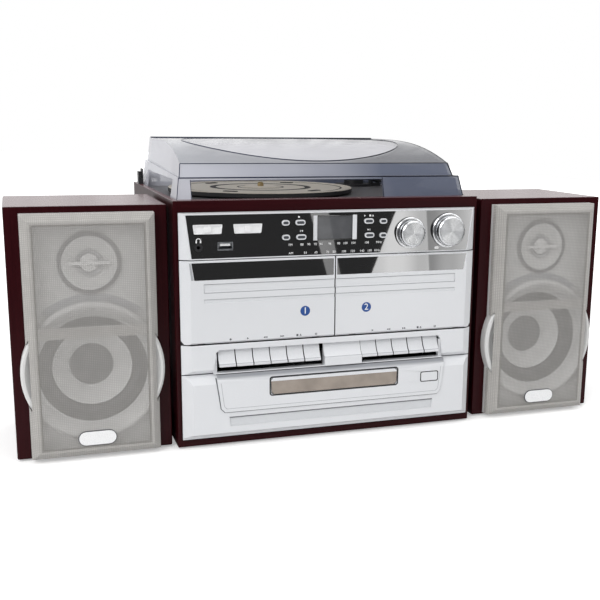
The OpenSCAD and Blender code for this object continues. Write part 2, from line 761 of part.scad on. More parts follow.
module turntable_deck() {
    color("#8d8986") at_unit() difference() {
        union() {
            span([-cab_w / 2 + rim_side + 0.2, rim_front + 0.2, deck_under],
                [cab_w / 2 - rim_side - 0.2, cab_d - rim_back - 0.2, deck_z]);
            for (x = [-1, 1]) span([x * (in_x - 6) - 2, rim_front + rebate + 2, deck_under - 12],
                [x * (in_x - 6) + 2, cab_d - rim_back - rebate - 4, deck_under + eps]);
            // armrest, a post with a flat top just under the arm
            translate([rest_pos[0], rest_pos[1], deck_z - eps]) {
                cylinder(r = 4, h = rest_h - 1);
                translate([-6, -3, rest_h - 3]) cube([12, 6, 3]);
            }
        }
        translate([platter_x, platter_y, deck_under - 1]) cylinder(r = bearing_r + 0.2, h = deck_t + 2);
        translate([motor_pos[0], motor_pos[1], deck_under - 1]) cylinder(r = 5, h = deck_t + 2);
        translate([arm_x, arm_y, deck_under - 1]) cylinder(r = 9, h = deck_t + 2);
        span([speed_pos[0] - 2, speed_pos[1] - 3, deck_under - 1],
            [speed_pos[0] + 2, speed_pos[1] + speed_travel + 3, deck_z + 1]);
    }
}

module platter_bearing() {
    color("#b5b7b9") at_unit() translate([platter_x, platter_y, 0]) difference() {
        union() {
            translate([0, 0, deck_z - bearing_h]) cylinder(r = bearing_r, h = bearing_h);
            translate([0, 0, deck_under - 3]) cylinder(r = bearing_r + 7, h = 3);
        }
        translate([0, 0, deck_z - bearing_h + 3]) cylinder(r = shaft_r + run, h = bearing_h);
    }
}

// Motor under the deck, with its pulley below the platter.
module drive_motor() {
    color("#a8aaac") at_unit() translate([motor_pos[0], motor_pos[1], 0]) {
        translate([0, 0, deck_under - motor_h]) cylinder(r = motor_r, h = motor_h);
        translate([0, 0, deck_under - 1]) cylinder(r = 1.5, h = deck_t + 1.7);
    }
}

// Fixed tower that carries the tonearm and the lift lever.
module arm_base() {
    lever = [lever_pos[0] - arm_x, lever_pos[1] - arm_y];
    color("#26272a") at_unit() translate([arm_x, arm_y, 0]) difference() {
        union() {
            translate([0, 0, deck_under - 8]) cylinder(r = 8.8, h = deck_t + 9);
            translate([0, 0, deck_z]) cylinder(r = tower_r, h = tower_h);
            translate([0, 0, deck_z]) cylinder(r = 13, h = 8);
            span([lever[0] - 7, lever[1] - 6, deck_z], [lever[0] + 7, lever[1] + 6, deck_z + 4]);
            for (side = [-1, 1]) translate([lever[0] + side * 4.8, 0, 0])
                span([-1.2, lever[1] - 5, deck_z], [1.2, lever[1] + 5, lever_z + 4]);
        }
        translate([0, 0, deck_z - 6]) cylinder(r = 4 + run, h = 20);
        rod_x(1.5 + run, lever[1], lever_z, lever[0] - 8, lever[0] + 8);
    }
}

// Turning head of the tonearm, on a shaft in the tower.
module arm_gimbal() {
    color("#2e2f33") at_unit() translate([arm_x, arm_y, 0]) difference() {
        union() {
            translate([0, 0, deck_z - 5.7]) cylinder(r = 4, h = 15);
            translate([0, 0, deck_z + 8.2]) cylinder(r = 12, h = 1.8);
            for (side = [-1, 1]) span([side * 9.5 - 2, -6, deck_z + 9], [side * 9.5 + 2, 6, arm_z + 6]);
        }
        rod_x(2 + run, 0, arm_z, -13, 13);
    }
}

// Straight tube with its cross pin and counterweight.
module tonearm() {
    color("#c9cbcd") at_unit() translate([arm_x, arm_y, arm_z]) {
        rod_y(arm_r, 0, 0, -arm_l + 18, 14);
        rod_x(2, 0, 0, -11.2, 11.2);
        rod_x(6, 0, 0, -7.2, 7.2);
        rod_y(8.5, 0, 0, 12, 26);
    }
}

// Headshell and cartridge with its needle.
module headshell() {
    tip = platter_top + 2 - arm_z;
    color("#1d1e21") at_unit() translate([arm_x, arm_y, arm_z]) {
        difference() {
            span([-8, -arm_l - 5, -3.6], [8, -arm_l + 30, 3.6]);
            rod_y(arm_r, 0, 0, -arm_l + 18, -arm_l + 40);
        }
        span([-6, -arm_l - 3, -7.6], [6, -arm_l + 14, -3.5]);
        translate([0, -arm_l, tip]) cylinder(r1 = 0.5, r2 = 1.2, h = -7.5 - tip);
        span([7.9, -arm_l - 4, -1], [13, -arm_l - 1, 1]);
    }
}

// Small lever that raises the tonearm.
module lift_lever() {
    color("#2b2c30") at_unit() translate([lever_pos[0], lever_pos[1], lever_z]) {
        rod_x(1.5, 0, 0, -5.8, 5.8);
        rod_x(2.8, 0, 0, -3.2, 3.2);
        translate([-1.5, -lever_l, -1.2]) cube([3, lever_l, 2.4]);
        translate([-3, -lever_l - 6, -1.6]) cube([6, 8, 3.2]);
    }
}

module speed_switch() {
    color("#2b2c30") at_unit() translate([speed_pos[0], speed_pos[1], 0]) {
        span([-4, -2.5, deck_z + 0.2], [4, 2.5, deck_z + 3.4]);
        span([-1.6, -2.2, deck_under - 1], [1.6, 2.2, deck_z + 0.3]);
    }
}

// Platter with its hollow underside, shaft and record spindle.
module platter() {
    color("#d9d2c4") at_unit() translate([platter_x, platter_y, 0]) {
        rotate_extrude($fn = 128) polygon([[0, deck_z - bearing_h + 3.3], [shaft_r, deck_z - bearing_h + 3.3],
            [shaft_r, platter_under + 1], [shaft_r + 8, platter_under + 1], [shaft_r + 8, platter_under + 3],
            [platter_r - 5, platter_under + 3], [platter_r - 4, platter_under], [platter_r - 1, platter_under],
            [platter_r, platter_under + 1], [platter_r, platter_top - 1], [platter_r - 1, platter_top],
            [platter_r - 7, platter_top], [platter_r - 8, platter_top - 0.8],
            [spindle_r + 18, platter_top - 0.8], [spindle_r + 17, platter_top],
            [spindle_r, platter_top], [spindle_r, platter_top + spindle_h - 1.6],
            [spindle_r - 1.4, platter_top + spindle_h - 0.4], [0, platter_top + spindle_h]]);
    }
}

// --- Dust cover ------------------------------------------------------------

// Height of the cover's top along its depth: a steep front that flattens to the back.
function crest(y) = let (t = max(0, (lid_crest_y - y) / (lid_crest_y - lid_fold_y)))
    deck_z + lid_fold + (lid_h - lid_fold) * (1 - pow(t, 2.8));

// Plain lower skirt, drawn in by t on every side.
module lid_skirt(t) {
    half = lid_w / 2 - t;
    ledge = deck_z + lid_ledge - t;
    intersection() {
        bar(-half, half) polygon([[lid_front + t, deck_z - t], [lid_front + 8 + t, ledge],
            [lid_back + 1 - t, ledge + lid_rise], [lid_back + 1 - t, deck_z - t]]);
        plate(lid_front, lid_back + 2) polygon([[-half, deck_z - t], [half, deck_z - t],
            [half - 4, deck_z + lid_ledge], [half - 5.5, deck_z + lid_ledge + lid_rise + 1],
            [-half + 5.5, deck_z + lid_ledge + lid_rise + 1], [-half + 4, deck_z + lid_ledge]]);
    }
}

// Upper form with the curved top, drawn in by t on every side.
module lid_crown(t) {
    steps = 14;
    half = lid_w / 2 - 6 - t;
    top = [for (i = [0 : steps]) let (y = lid_fold_y + t * 0.7 + (lid_back - t - lid_fold_y - t * 0.7) * i / steps)
        [y, crest(y - t * 0.4) - t]];
    intersection() {
        bar(-half, half) polygon(concat([[lid_front + 15 + t, deck_z + 20]], top, [[lid_back - t, deck_z + 20]]));
        plate(lid_front, lid_back + 1) polygon([[-half, deck_z + 19], [half, deck_z + 19],
            [half - 3, deck_z + lid_fold], [half - 6, deck_z + lid_h + 2],
            [-half + 6, deck_z + lid_h + 2], [-half + 3, deck_z + lid_fold]]);
    }
}

module dust_cover() {
    lug_low = hinge_z - 6;
    color("#8b95a6", 0.5) at_unit() difference() {
        union() {
            difference() {
                union() {
                    lid_skirt(0);
                    lid_crown(0);
                }
                lid_skirt(lid_t);
                lid_crown(lid_t);
                // the cover is open where a long record overhangs the cabinet
                span([16 - lid_w / 2, lid_front - 5, deck_z - 1],
                    [platter_x + platter_r - 3, lid_front + 20, deck_z + 22]);
                span([-lid_w / 2 - 1, platter_y - 90, deck_z - 1], [-lid_w / 2 + 12, platter_y + 95, deck_z + 22]);
            }
            for (side = [-1, 1]) translate([side * hinge_x, 0, 0]) {
                rod_x(5.5, hinge_y, hinge_z, -hinge_lug_w / 2, hinge_lug_w / 2);
                span([-hinge_lug_w / 2, lid_back - 1, lug_low + 0.5], [hinge_lug_w / 2, hinge_y, hinge_z + 5.5]);
            }
        }
        for (side = [-1, 1]) rod_x(hinge_r + run, hinge_y, hinge_z,
            side * hinge_x - hinge_lug_w, side * hinge_x + hinge_lug_w);
    }
}

// Two brackets on the deck that carry the cover's pins.
module cover_hinges() {
    inner = hinge_lug_w / 2 + pass;
    color("#1a1b1e") at_unit() for (side = [-1, 1]) translate([side * hinge_x, 0, 0]) {
        span([-inner - hinge_cheek, hinge_y - 5, deck_z], [inner + hinge_cheek, hinge_y + 6, deck_z + 2.6]);
        for (x = [-inner - hinge_cheek, inner])
            span([x, hinge_y - 5, deck_z], [x + hinge_cheek, hinge_y + 6, hinge_z + 4]);
        rod_x(hinge_r, hinge_y, hinge_z, -inner - hinge_cheek + 0.2, inner + hinge_cheek - 0.2);
    }
}

// --- Doors, keys, drawer and controls --------------------------------------

// One cassette door, built for the left deck and mirrored for the right one.
module cassette_door() {
    arm_in = tape_w / 2;
    middle = -deck_x;
    pivot_y = door_pivot[0];
    difference() {
        union() {
            intersection() {
                linear_extrude(front_high) polygon([[-front_x, door_back], [-front_x, -flange_t - 0.8],
                    [-front_x + bevel_w, face_y], [-door_gap, face_y], [-door_gap, door_back]]);
                bar(-front_x - 1, 1) polygon([[door_back, door_pivot[1] - 0.4], [pivot_y, door_low],
                    [face_y + 2, door_low], [face_y, door_low + 2], [face_y, door_high - 0.6],
                    [face_y + 0.6, door_high], [door_back, door_high]]);
            }
            // holder behind the door
            for (side = [-1, 1]) {
                x = side > 0 ? middle + arm_in : middle - arm_in - holder_t;
                span([x, door_back - 0.5, tape_low - holder_t], [x + holder_t, tape_back, tape_low + tape_h]);
                lip = side > 0 ? middle + arm_in - 6 : middle - arm_in - holder_t;
                span([lip, tape_back - 0.2, tape_low - holder_t], [lip + 6 + holder_t, tape_back + 1.6, tape_low + tape_h - 6]);
            }
            span([middle - arm_in - 1, door_back - 0.5, tape_low - holder_t], [middle + arm_in + 1, tape_back, tape_low]);
        }
        // hinge pockets
        for (side = [-1, 1]) translate([middle + side * door_ear_x, 0, 0])
            span([-door_ear_w / 2 - 2, pivot_y - door_ear_r - 0.3, door_low - 2],
                [door_ear_w / 2 + 2, 2, door_pivot[1] + door_ear_r + 0.6]);
        // long grooves across the front
        span([-door_groove_x, face_y - 1, 166.2], [1, face_y + 1, 175.8]);
        span([-door_groove_x, face_y - 1, 156], [1, face_y + 0.8, 159.9]);
    }
    for (side = [-1, 1]) translate([middle + side * door_ear_x, 0, 0])
        rod_x(door_pin_r, pivot_y, door_pivot[1], -door_ear_w / 2 - 2.5, door_ear_w / 2 + 2.5);
}

module cassette_door_left() {
    color("#dcdddf") at_unit() cassette_door();
}

module cassette_door_right() {
    color("#dcdddf") at_unit() mirror([1, 0, 0]) cassette_door();
}

// One piano key at place i of a group, turning on the rod behind it.
module piano_key(left, i) {
    x = left + i * key_pitch;
    w = key_pitch - key_gap;
    color("#d5d6d8") at_unit() difference() {
        union() {
            bar(x, x + w) key_face_outline(key_low);
            span([x + 3, 1, 95], [x + w - 3, key_axis[0], 101]);
            rod_x(4, key_axis[0], key_axis[1], x + 3, x + w - 3);
        }
        rod_x(key_rod_r + run, key_axis[0], key_axis[1], x, x + w);
    }
}

// Drawer: front, tray and the round recess for a disc.
module disc_drawer() {
    color("#4b4e53") at_unit() difference() {
        union() {
            plate(-disc_out - 1.4, -disc_out + 3) translate([0, drawer_low + drawer_h / 2])
                polygon(drawer_outline(drawer_gap));
            span([-tray_w / 2, -disc_out + 2.8, tray_low], [tray_w / 2, tray_d - disc_out, tray_low + tray_t]);
        }
        // rebate for the window
        span([-drawer_w / 2, -disc_out - 3, drawer_low - 1], [drawer_w / 2, -disc_out, drawer_low + window_h]);
        translate([0, hub_y, tray_low + tray_t - recess_h]) cylinder(r = disc_r, h = 9);
        translate([0, hub_y, tray_low - 1]) cylinder(r = 17, h = 9);
        span([-17, hub_y, tray_low - 1], [17, tray_d - disc_out - 8, tray_low + 12]);
    }
}

// Smoked window over the lower part of the drawer's front.
module drawer_window() {
    color("#8a7f74") at_unit() intersection() {
        plate(-disc_out - 1.6, -disc_out) translate([0, drawer_low + drawer_h / 2]) polygon(drawer_outline(drawer_gap));
        span([-drawer_w / 2, -disc_out - 2, drawer_low], [drawer_w / 2, 0, drawer_low + window_h]);
    }
}

module eject_button() {
    color("#e2e2e4") at_unit() {
        plate(-disc_out - 1.9, -flange_t) translate(eject_pos) round_rect(eject_size[0], eject_size[1], 1.8);
        plate(-flange_t - 1, 4) translate(eject_pos) square([8, 5], center = true);
    }
}

// Turned knob: base ring, body and shaft.
module knob(pos, base_r) {
    body_r = base_r - 2.6;
    color("#c9cbcd") at_unit() translate([pos[0], face_y, pos[1]]) rotate([90, 0, 0])
        rotate_extrude($fn = 96) polygon([[0, 2 - board_y - face_out], [knob_shaft_r, 2 - board_y - face_out],
            [knob_shaft_r, 0.3], [base_r, 0.3], [base_r, 2.4], [base_r - 1, 3.2], [body_r, 3.2],
            [body_r - 0.5, knob_out - 1.2], [body_r - 1.7, knob_out], [body_r - 3, knob_out - 0.5], [0, knob_out - 0.5]]);
}

module volume_knob() {
    knob(volume_pos, volume_r);
}

module tuning_knob() {
    knob(tuning_pos, tuning_r);
}

// Slide switch cap in its slot.
module slide_cap(pos) {
    color("#f2f2f2") at_unit() translate([pos[0], 0, pos[1]]) {
        span([-3.4, face_y - 0.8, -3.4], [3.4, face_y + 1, 3.4]);
        span([-switch_stem, face_y + 0.8, -1], [switch_stem, board_y - 3, 1]);
    }
}

module function_switch() {
    slide_cap(function_pos);
}

module band_switch() {
    slide_cap(band_pos);
}

// Small push button number i of the black panel.
module push_button(i) {
    b = panel_buttons[i];
    color("#b9bcc0") at_unit() translate([b[0], 0, b[1]]) {
        plate(face_y - 1.4, panel_back + 3) pill(b[2], button_h);
        plate(panel_back + 2, board_y - 3.4 - button_travel - 0.15) square([4, 3], center = true);
    }
}

// --- Speakers --------------------------------------------------------------

// Carries a piece to one speaker: the origin is the middle of its front's lower edge.
module at_speaker(side) {
    at_unit() translate([spk_x[side], spk_back, 0]) children();
}

module speaker_cabinets() {
    half = spk_w / 2;
    color("#3a1418") for (side = [0, 1]) at_speaker(side) difference() {
        span([-half, 0, 0], [half, spk_d, spk_h]);
        span([-half + spk_board, spk_board, spk_board], [half - spk_board, spk_d - spk_board, spk_h - spk_board]);
        rod_y(woofer_r + 9, 0, woofer_z, -1, spk_board + 1);
        rod_y(tweeter_r - 3, 0, tweeter_z, -1, spk_board + 1);
        translate([0, 0, 70]) plate(spk_d - spk_board - 1, spk_d + 1) square(post_size + [0.6, 0.6], center = true);
    }
}

// Moulded baffle: flat plate, funnel rim about the woofer and ring about the tweeter.
module speaker_baffles() {
    rim_out = grille_out - 6;
    color("#cfcfcd") for (side = [0, 1]) at_speaker(side) difference() {
        union() {
            span([-grille_w / 2, -baffle_t, grille_low], [grille_w / 2, 0, grille_low + grille_h]);
            translate([0, 0, woofer_z]) rotate([90, 0, 0])
                rotate_extrude($fn = 128) polygon([[woofer_r - 1, -9], [woofer_r + 3, -9], [woofer_r + 8, 0],
                    [rim_r, 0], [rim_r, rim_out - 2], [rim_r - 2, rim_out], [rim_r - 4, rim_out],
                    [woofer_r + 4, 0], [woofer_r - 1, -4]]);
        }
        rod_y(woofer_r - 1, 0, woofer_z, -baffle_t - 1, 1);
        intersection() {
            rod_y(rim_r - 6, 0, woofer_z, -baffle_t - 1, -eps);
            translate([0, 0, woofer_z]) rotate([90, 0, 0])
                cylinder(r1 = woofer_r + 3.9, r2 = woofer_r + 12, h = baffle_t + 1);
        }
        rod_y(tweeter_r - 4, 0, tweeter_z, -baffle_t - 1, 1);
    }
}

// Woofer: magnet, basket, cone, surround and dust cap in one profile.
module woofers() {
    color("#55565a") for (side = [0, 1]) at_speaker(side) translate([0, 10, woofer_z]) rotate([90, 0, 0])
        rotate_extrude($fn = 96) polygon([[0, -magnet_back], [magnet_r, -magnet_back],
            [magnet_r, 18 - magnet_back], [magnet_r - 10, 20 - magnet_back], [magnet_r - 10, -30],
            [woofer_r - 6, -3.5], [woofer_r + 5, -3.5], [woofer_r + 5, 0.9],
            [woofer_r - 1.1, 0.9], [woofer_r - 3, 3.4], [woofer_r - 8, 3.4], [woofer_r - 11, 0.2],
            [22, -12], [14, -7.4], [0, -4.6]]);
}

module tweeters() {
    bar_l = 40;
    color("#c9c9c7") for (side = [0, 1]) at_speaker(side) translate([0, 0, tweeter_z]) {
        rotate([90, 0, 0]) rotate_extrude($fn = 96) polygon([[0, -tweeter_back], [18, -tweeter_back], [18, -8],
            [tweeter_r - 4.5, -8], [tweeter_r - 4.5, baffle_t], [tweeter_r, baffle_t], [tweeter_r, baffle_t + 2.4],
            [tweeter_r - 4, baffle_t + 2.4], [13, baffle_t - 1], [13, baffle_t + 1], [9.4, baffle_t - 1.4],
            [9, baffle_t], [0, baffle_t + 3]]);
        span([-bar_l / 2, -baffle_t - 4.4, -1.5], [bar_l / 2, -baffle_t - 2, 1.5]);
        for (x = [-1, 1]) span([x * 17 - 1, -baffle_t - 2.4, -1], [x * 17 + 1, -baffle_t + 2, 1]);
    }
}

// Cloth-covered frame with slanted edges and a cross bar.
module grille(side) {
    wall = 3;
    edge = 7;
    skin = 1.4;
    out = grille_out;
    half = grille_w / 2;
    high = grille_low + grille_h;
    color("#b3b0ac") at_speaker(side) difference() {
        intersection() {
            linear_extrude(spk_h) polygon([[-half, -baffle_t - 0.2], [-half, -out + edge], [-half + edge, -out],
                [half - edge, -out], [half, -out + edge], [half, -baffle_t - 0.2]]);
            bar(-half, half) polygon([[-baffle_t - 0.2, grille_low], [-out + edge, grille_low],
                [-out, grille_low + edge], [-out, high - edge], [-out + edge, high], [-baffle_t - 0.2, high]]);
        }
        difference() {
            intersection() {
                linear_extrude(spk_h) polygon([[-half + wall, 0], [-half + wall, -out + edge + 1],
                    [-half + edge + 1, -out + skin], [half - edge - 1, -out + skin],
                    [half - wall, -out + edge + 1], [half - wall, 0]]);
                bar(-half, half) polygon([[0, grille_low + wall], [-out + edge + 1, grille_low + wall],
                    [-out + skin, grille_low + edge + 1], [-out + skin, high - edge - 1],
                    [-out + edge + 1, high - wall], [0, high - wall]]);
            }
            span([-half, -out, bar_z[0]], [half, -out + 4, bar_z[1]]);
        }
        rod_y(rim_r + 0.8, 0, woofer_z, -out + 4.5, 0);
    }
}

module grille_left() {
    grille(0);
}

module grille_right() {
    grille(1);
}

// --- Drawing ---------------------------------------------------------------

cabinet_shell();
back_panel();
rear_sockets();
rubber_feet();
front_frame();
control_panel();
display_window();
front_sockets();
key_panel();
disc_panel();
disc_mechanism();
cassette_mechanisms();
circuit_boards();
power_transformer();
turntable_deck();
platter_bearing();
drive_motor();
arm_base();
cover_hinges();
speaker_cabinets();
speaker_baffles();
woofers();
tweeters();
cassette_door_left();
cassette_door_right();
piano_key(keys_a_x, 0);  // record_key
piano_key(keys_a_x, 1);  // play_key_left
piano_key(keys_a_x, 2);  // rewind_key_left
piano_key(keys_a_x, 3);  // forward_key_left
piano_key(keys_a_x, 4);  // stop_key_left
piano_key(keys_a_x, 5);  // pause_key_left
piano_key(keys_b_x, 0);  // play_key_right
piano_key(keys_b_x, 1);  // rewind_key_right
piano_key(keys_b_x, 2);  // forward_key_right
piano_key(keys_b_x, 3);  // stop_key_right
piano_key(keys_b_x, 4);  // pause_key_right
disc_drawer();
drawer_window();
eject_button();
volume_knob();
tuning_knob();
function_switch();
band_switch();
push_button(0);  // source_button
push_button(1);  // record_button
push_button(2);  // folder_button
push_button(3);  // back_button
push_button(4);  // pause_button
push_button(5);  // mode_button
push_button(6);  // skip_button
push_button(7);  // search_button
platter();
arm_gimbal();
tonearm();
headshell();
lift_lever();
speed_switch();
dust_cover();
grille_left();
grille_right();
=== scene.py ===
import json
import math

import bmesh
import bpy
from mathutils import Matrix, Vector


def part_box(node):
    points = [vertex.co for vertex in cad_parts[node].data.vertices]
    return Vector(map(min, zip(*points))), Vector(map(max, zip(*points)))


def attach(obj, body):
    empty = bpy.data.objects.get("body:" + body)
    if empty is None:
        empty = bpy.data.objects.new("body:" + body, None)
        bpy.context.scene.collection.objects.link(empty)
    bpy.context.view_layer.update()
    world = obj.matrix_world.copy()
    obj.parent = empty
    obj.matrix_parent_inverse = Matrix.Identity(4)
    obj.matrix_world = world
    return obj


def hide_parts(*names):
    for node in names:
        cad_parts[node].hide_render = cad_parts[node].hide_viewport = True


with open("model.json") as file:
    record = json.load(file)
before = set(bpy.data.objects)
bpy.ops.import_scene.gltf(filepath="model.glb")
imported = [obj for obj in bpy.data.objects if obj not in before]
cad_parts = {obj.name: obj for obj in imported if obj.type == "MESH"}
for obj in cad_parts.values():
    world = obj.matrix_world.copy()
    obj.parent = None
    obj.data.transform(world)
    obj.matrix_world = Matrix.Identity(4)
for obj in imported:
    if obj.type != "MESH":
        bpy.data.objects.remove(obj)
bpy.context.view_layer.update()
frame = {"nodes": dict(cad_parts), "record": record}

cabinetLow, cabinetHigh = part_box("cabinet_shell")
setOut = Vector(((cabinetLow.x + cabinetHigh.x) / 2, cabinetLow.y, cabinetLow.z))


def at(x, y, z):  # millimetres from the middle of the cabinet's lower front edge
    return setOut + Vector((x, y, z)) / 1000


# the camera stands left of the set and a little above it, as the photograph shows
cameraSettings = {
    "place": (-0.32535, -1.0703, 0.3413),
    "turnRight": 19.126,
    "lookDown": 12.104,
    "roll": 0.694,
    "lens": 55.44,
    "shift": (-0.0533, 0.0333),
    "sensor": 36,
    "farthest": 60,
}


def makeCamera(look):
    turn, down, roll = (math.radians(look[k]) for k in ("turnRight", "lookDown", "roll"))
    ahead = Vector((math.sin(turn) * math.cos(down), math.cos(turn) * math.cos(down), -math.sin(down)))
    level = Vector((math.cos(turn), -math.sin(turn), 0))
    upright = level.cross(ahead)
    right = level * math.cos(roll) + upright * math.sin(roll)
    up = upright * math.cos(roll) - level * math.sin(roll)
    view = Matrix((right, up, -ahead)).transposed().to_4x4()
    view.translation = look["place"]
    bpy.ops.object.camera_add()
    camera = bpy.context.object
    camera.name = "photo_camera"
    camera.matrix_world = view
    camera.data.lens = look["lens"]
    camera.data.sensor_width = look["sensor"]
    camera.data.shift_x, camera.data.shift_y = look["shift"]
    camera.data.clip_end = look["farthest"]
    bpy.context.scene.camera = camera


makeCamera(cameraSettings)
print("camera stands")


# helpers for materials


def tint(code):  # an sRGB hex colour as linear light
    parts = [int(code[i:i + 2], 16) / 255 for i in (1, 3, 5)]
    return tuple(p / 12.92 if p <= 0.04045 else ((p + 0.055) / 1.055) ** 2.4 for p in parts) + (1.0,)


def feed(node, put):  # gives a node's inputs their values, or links; another node gives its first output
    for key, value in put.items():
        if isinstance(value, bpy.types.Node):
            value = value.outputs[0]
        if isinstance(value, bpy.types.NodeSocket):
            node.id_data.links.new(value, node.inputs[key])
        else:
            node.inputs[key].default_value = value


def add(tree, kind, put=None, **settings):  # one node with its settings and its links or values
    node = tree.nodes.new("ShaderNode" + kind)
    for key, value in settings.items():
        setattr(node, key, value)
    feed(node, put or {})
    return node


def blank(name, sockets):  # a material with the shader's own plain values set
    material = bpy.data.materials.new(name)
    material.use_nodes = True
    shader = material.node_tree.nodes["Principled BSDF"]
    feed(shader, sockets)
    return material, material.node_tree, shader


def shade(tree, fac, low, high, ends=(0.3, 0.7)):  # a value turned into a run between two colours
    ramp = add(tree, "ValToRGB", {"Fac": fac})
    for stop, place, code in zip(ramp.color_ramp.elements, ends, (low, high)):
        stop.position = place
        stop.color = tint(code)
    return ramp


def surface(name, low, high, grain, rough, bump=0.0, stretch=(1, 1, 1), ends=(0.3, 0.7), sockets=None):
    # colour, gloss and relief all follow one grain, whose size is in millimetres
    material, tree, shader = blank(name, sockets or {})
    where = add(tree, "TexCoord").outputs["Object"]
    drawn = add(tree, "Mapping", {"Vector": where, "Scale": stretch})
    grains = add(tree, "TexNoise", {"Vector": drawn, "Scale": 1000 / grain, "Detail": 5.0})
    gloss = add(tree, "MapRange", {"Value": grains, "From Min": 0.3, "From Max": 0.7, "To Min": rough[0],
            "To Max": rough[1]})
    feed(shader, {"Base Color": shade(tree, grains, low, high, ends), "Roughness": gloss})
    if bump:
        relief = add(tree, "Bump", {"Height": grains, "Distance": bump / 1000, "Strength": 0.6})
        feed(shader, {"Normal": relief})
    return material


# printed wood-grain foil on chipboard, rolled on: a dark red-brown with long fine streaks and a soft sheen
foilLook = {"low": "#240408", "high": "#350A10", "grain": 1.3, "rough": (0.3, 0.34), "bump": 0.003,
            "ends": (0.1, 0.9), "sockets": {"Specular IOR Level": 0.12}}
foilLying = surface("mahogany_foil_lying", stretch=(0.02, 1, 1), **foilLook)
foilUpright = surface("mahogany_foil_upright", stretch=(1, 1, 0.02), **foilLook)
foilDeep = surface("mahogany_foil_deep", stretch=(1, 0.02, 1), **foilLook)
# the same foil on the tops, lacquered smooth, in a paler and pinker colour that is painted sheen: at a low
# angle it turns the light back pale and a little pink
foilTopPaintedSheen = surface("mahogany_foil_top_painted_sheen", "#523034", "#5B383B", 6, (0.265, 0.275), stretch=(1, 0.05, 1),
        ends=(0.1, 0.9), sockets={"Specular IOR Level": 0.5})
# moulded ABS in a silver-white satin paint: pale and cool, with a broad soft highlight and hardly any grain
paintedAbs = surface("silver_painted_abs", "#D3D5D8", "#DDDEE1", 0.5, (0.28, 0.36), 0.006,
        sockets={"Coat Weight": 0.25, "Coat Roughness": 0.15})
# the keys have the same paint a shade darker, so each stands out from the panel; the display's left bar takes
# it too, as painted shade
keyAndBarShadeAbs = surface("silver_abs_keys_and_bar_shade", "#CBCDD0", "#D8D9DC", 0.5, (0.26, 0.34), 0.006,
        sockets={"Coat Weight": 0.25, "Coat Roughness": 0.15})
# clear-coated black acrylic: mirror gloss, so it shows the studio and not itself
blackAcrylic = surface("black_gloss_acrylic", "#09090A", "#0D0D0F", 30, (0.015, 0.03),
        sockets={"Coat Weight": 1.0, "Coat Roughness": 0.02, "Coat IOR": 2.4})
# spark-eroded black ABS: dull, with a fine even texture
blackAbs = surface("black_textured_abs", "#141416", "#222225", 0.7, (0.42, 0.55), 0.03)
# bright nickel-chrome plating: sharp cool reflections
chrome = surface("bright_chrome_plate", "#D4D6D9", "#E2E3E5", 3, (0.07, 0.12), sockets={"Metallic": 1.0})
# moulded white ABS of the switches and badges: clean and a little glossy
whiteAbs = surface("white_abs", "#E6E7E8", "#F1F1F2", 0.8, (0.24, 0.32), 0.004)
# screen-printed ink: flat colour, with a gloss that is a little uneven
whiteInk = surface("white_print_ink", "#E4E5E6", "#F6F6F6", 0.6, (0.4, 0.5))
greyInk = surface("grey_print_ink", "#3A3C40", "#55585C", 0.6, (0.4, 0.5))
blueInk = surface("blue_print_ink", "#183F7C", "#22519A", 0.8, (0.3, 0.4))
# liquid-crystal glass at rest: grey with a faint warm cast and a smooth sheet in front
lcdGlass = surface("lcd_glass", "#47484B", "#555659", 14, (0.1, 0.14), sockets={"Coat Weight": 1.0})
# brown-smoked acrylic before the tray: light comes back from the silver behind it
smokedStrip = surface("brown_smoked_acrylic", "#857A70", "#9A8F84", 22, (0.06, 0.1),
        sockets={"Coat Weight": 0.6})
# hammered grey paint on the turntable deck: warm grey with a metal glint
deckPaint = surface("deck_metallic_paint", "#57565A", "#6E6C6D", 0.6, (0.3, 0.42), 0.01,
        sockets={"Metallic": 0.35})
# cream lacquered aluminium platter with lathe marks
platterPaint = surface("platter_lacquer", "#CFC8BB", "#DDD6CA", 0.9, (0.3, 0.42), 0.01,
        sockets={"Metallic": 0.2})
# moulded rubber of the feet, the mat's rings and the drivers' surrounds: black, soft and dull
rubber = surface("black_rubber", "#101011", "#1C1C1E", 0.9, (0.6, 0.75), 0.04)
# zinc-plated steel sheet of the works: cold grey with a soft spangle
zincSteel = surface("zinc_plated_steel", "#85888C", "#A4A7AB", 5, (0.3, 0.45), 0.01,
        sockets={"Metallic": 1.0})
# varnished stack of core sheets: dark, with fine level lines
coreIron = surface("varnished_core_iron", "#3D3D40", "#56565A", 1.5, (0.4, 0.55), 0.04, stretch=(1, 1, 5),
        sockets={"Metallic": 0.6})
# glass-epoxy circuit board under solder resist: an even green gloss
boardGreen = surface("glass_epoxy_board", "#24502F", "#336B40", 2.5, (0.3, 0.4), 0.03)
# pressed hardboard with a black face: dull and slightly fibrous
hardboard = surface("black_faced_hardboard", "#1D1C1C", "#2E2C2B", 1.2, (0.55, 0.7), 0.05)
# moulded dark grey ABS: a soft even sheen
greyAbs = surface("dark_grey_abs", "#303238", "#43464C", 0.8, (0.38, 0.5), 0.02)
# pressed paper cone: light grey and fibrous; the cap is darker pressed fabric
conePaper = surface("speaker_cone_paper", "#DADAD9", "#F0F0EF", 1.1, (0.6, 0.75), 0.08)
capFabric = surface("dust_cap_fabric", "#3A3B3E", "#505155", 0.9, (0.6, 0.75), 0.08)
# light grey moulded ABS of the baffles, and the tweeters' darker and paler rings
baffleAbs = surface("light_grey_abs", "#CDCDCC", "#DBDBDA", 0.8, (0.3, 0.4), 0.01)
tweeterDark = surface("tweeter_ring_abs", "#4E4E51", "#606064", 0.8, (0.35, 0.45), 0.01)
tweeterPale = surface("tweeter_inner_ring_abs", "#A2A3A5", "#B0B1B3", 0.8, (0.3, 0.4), 0.01)
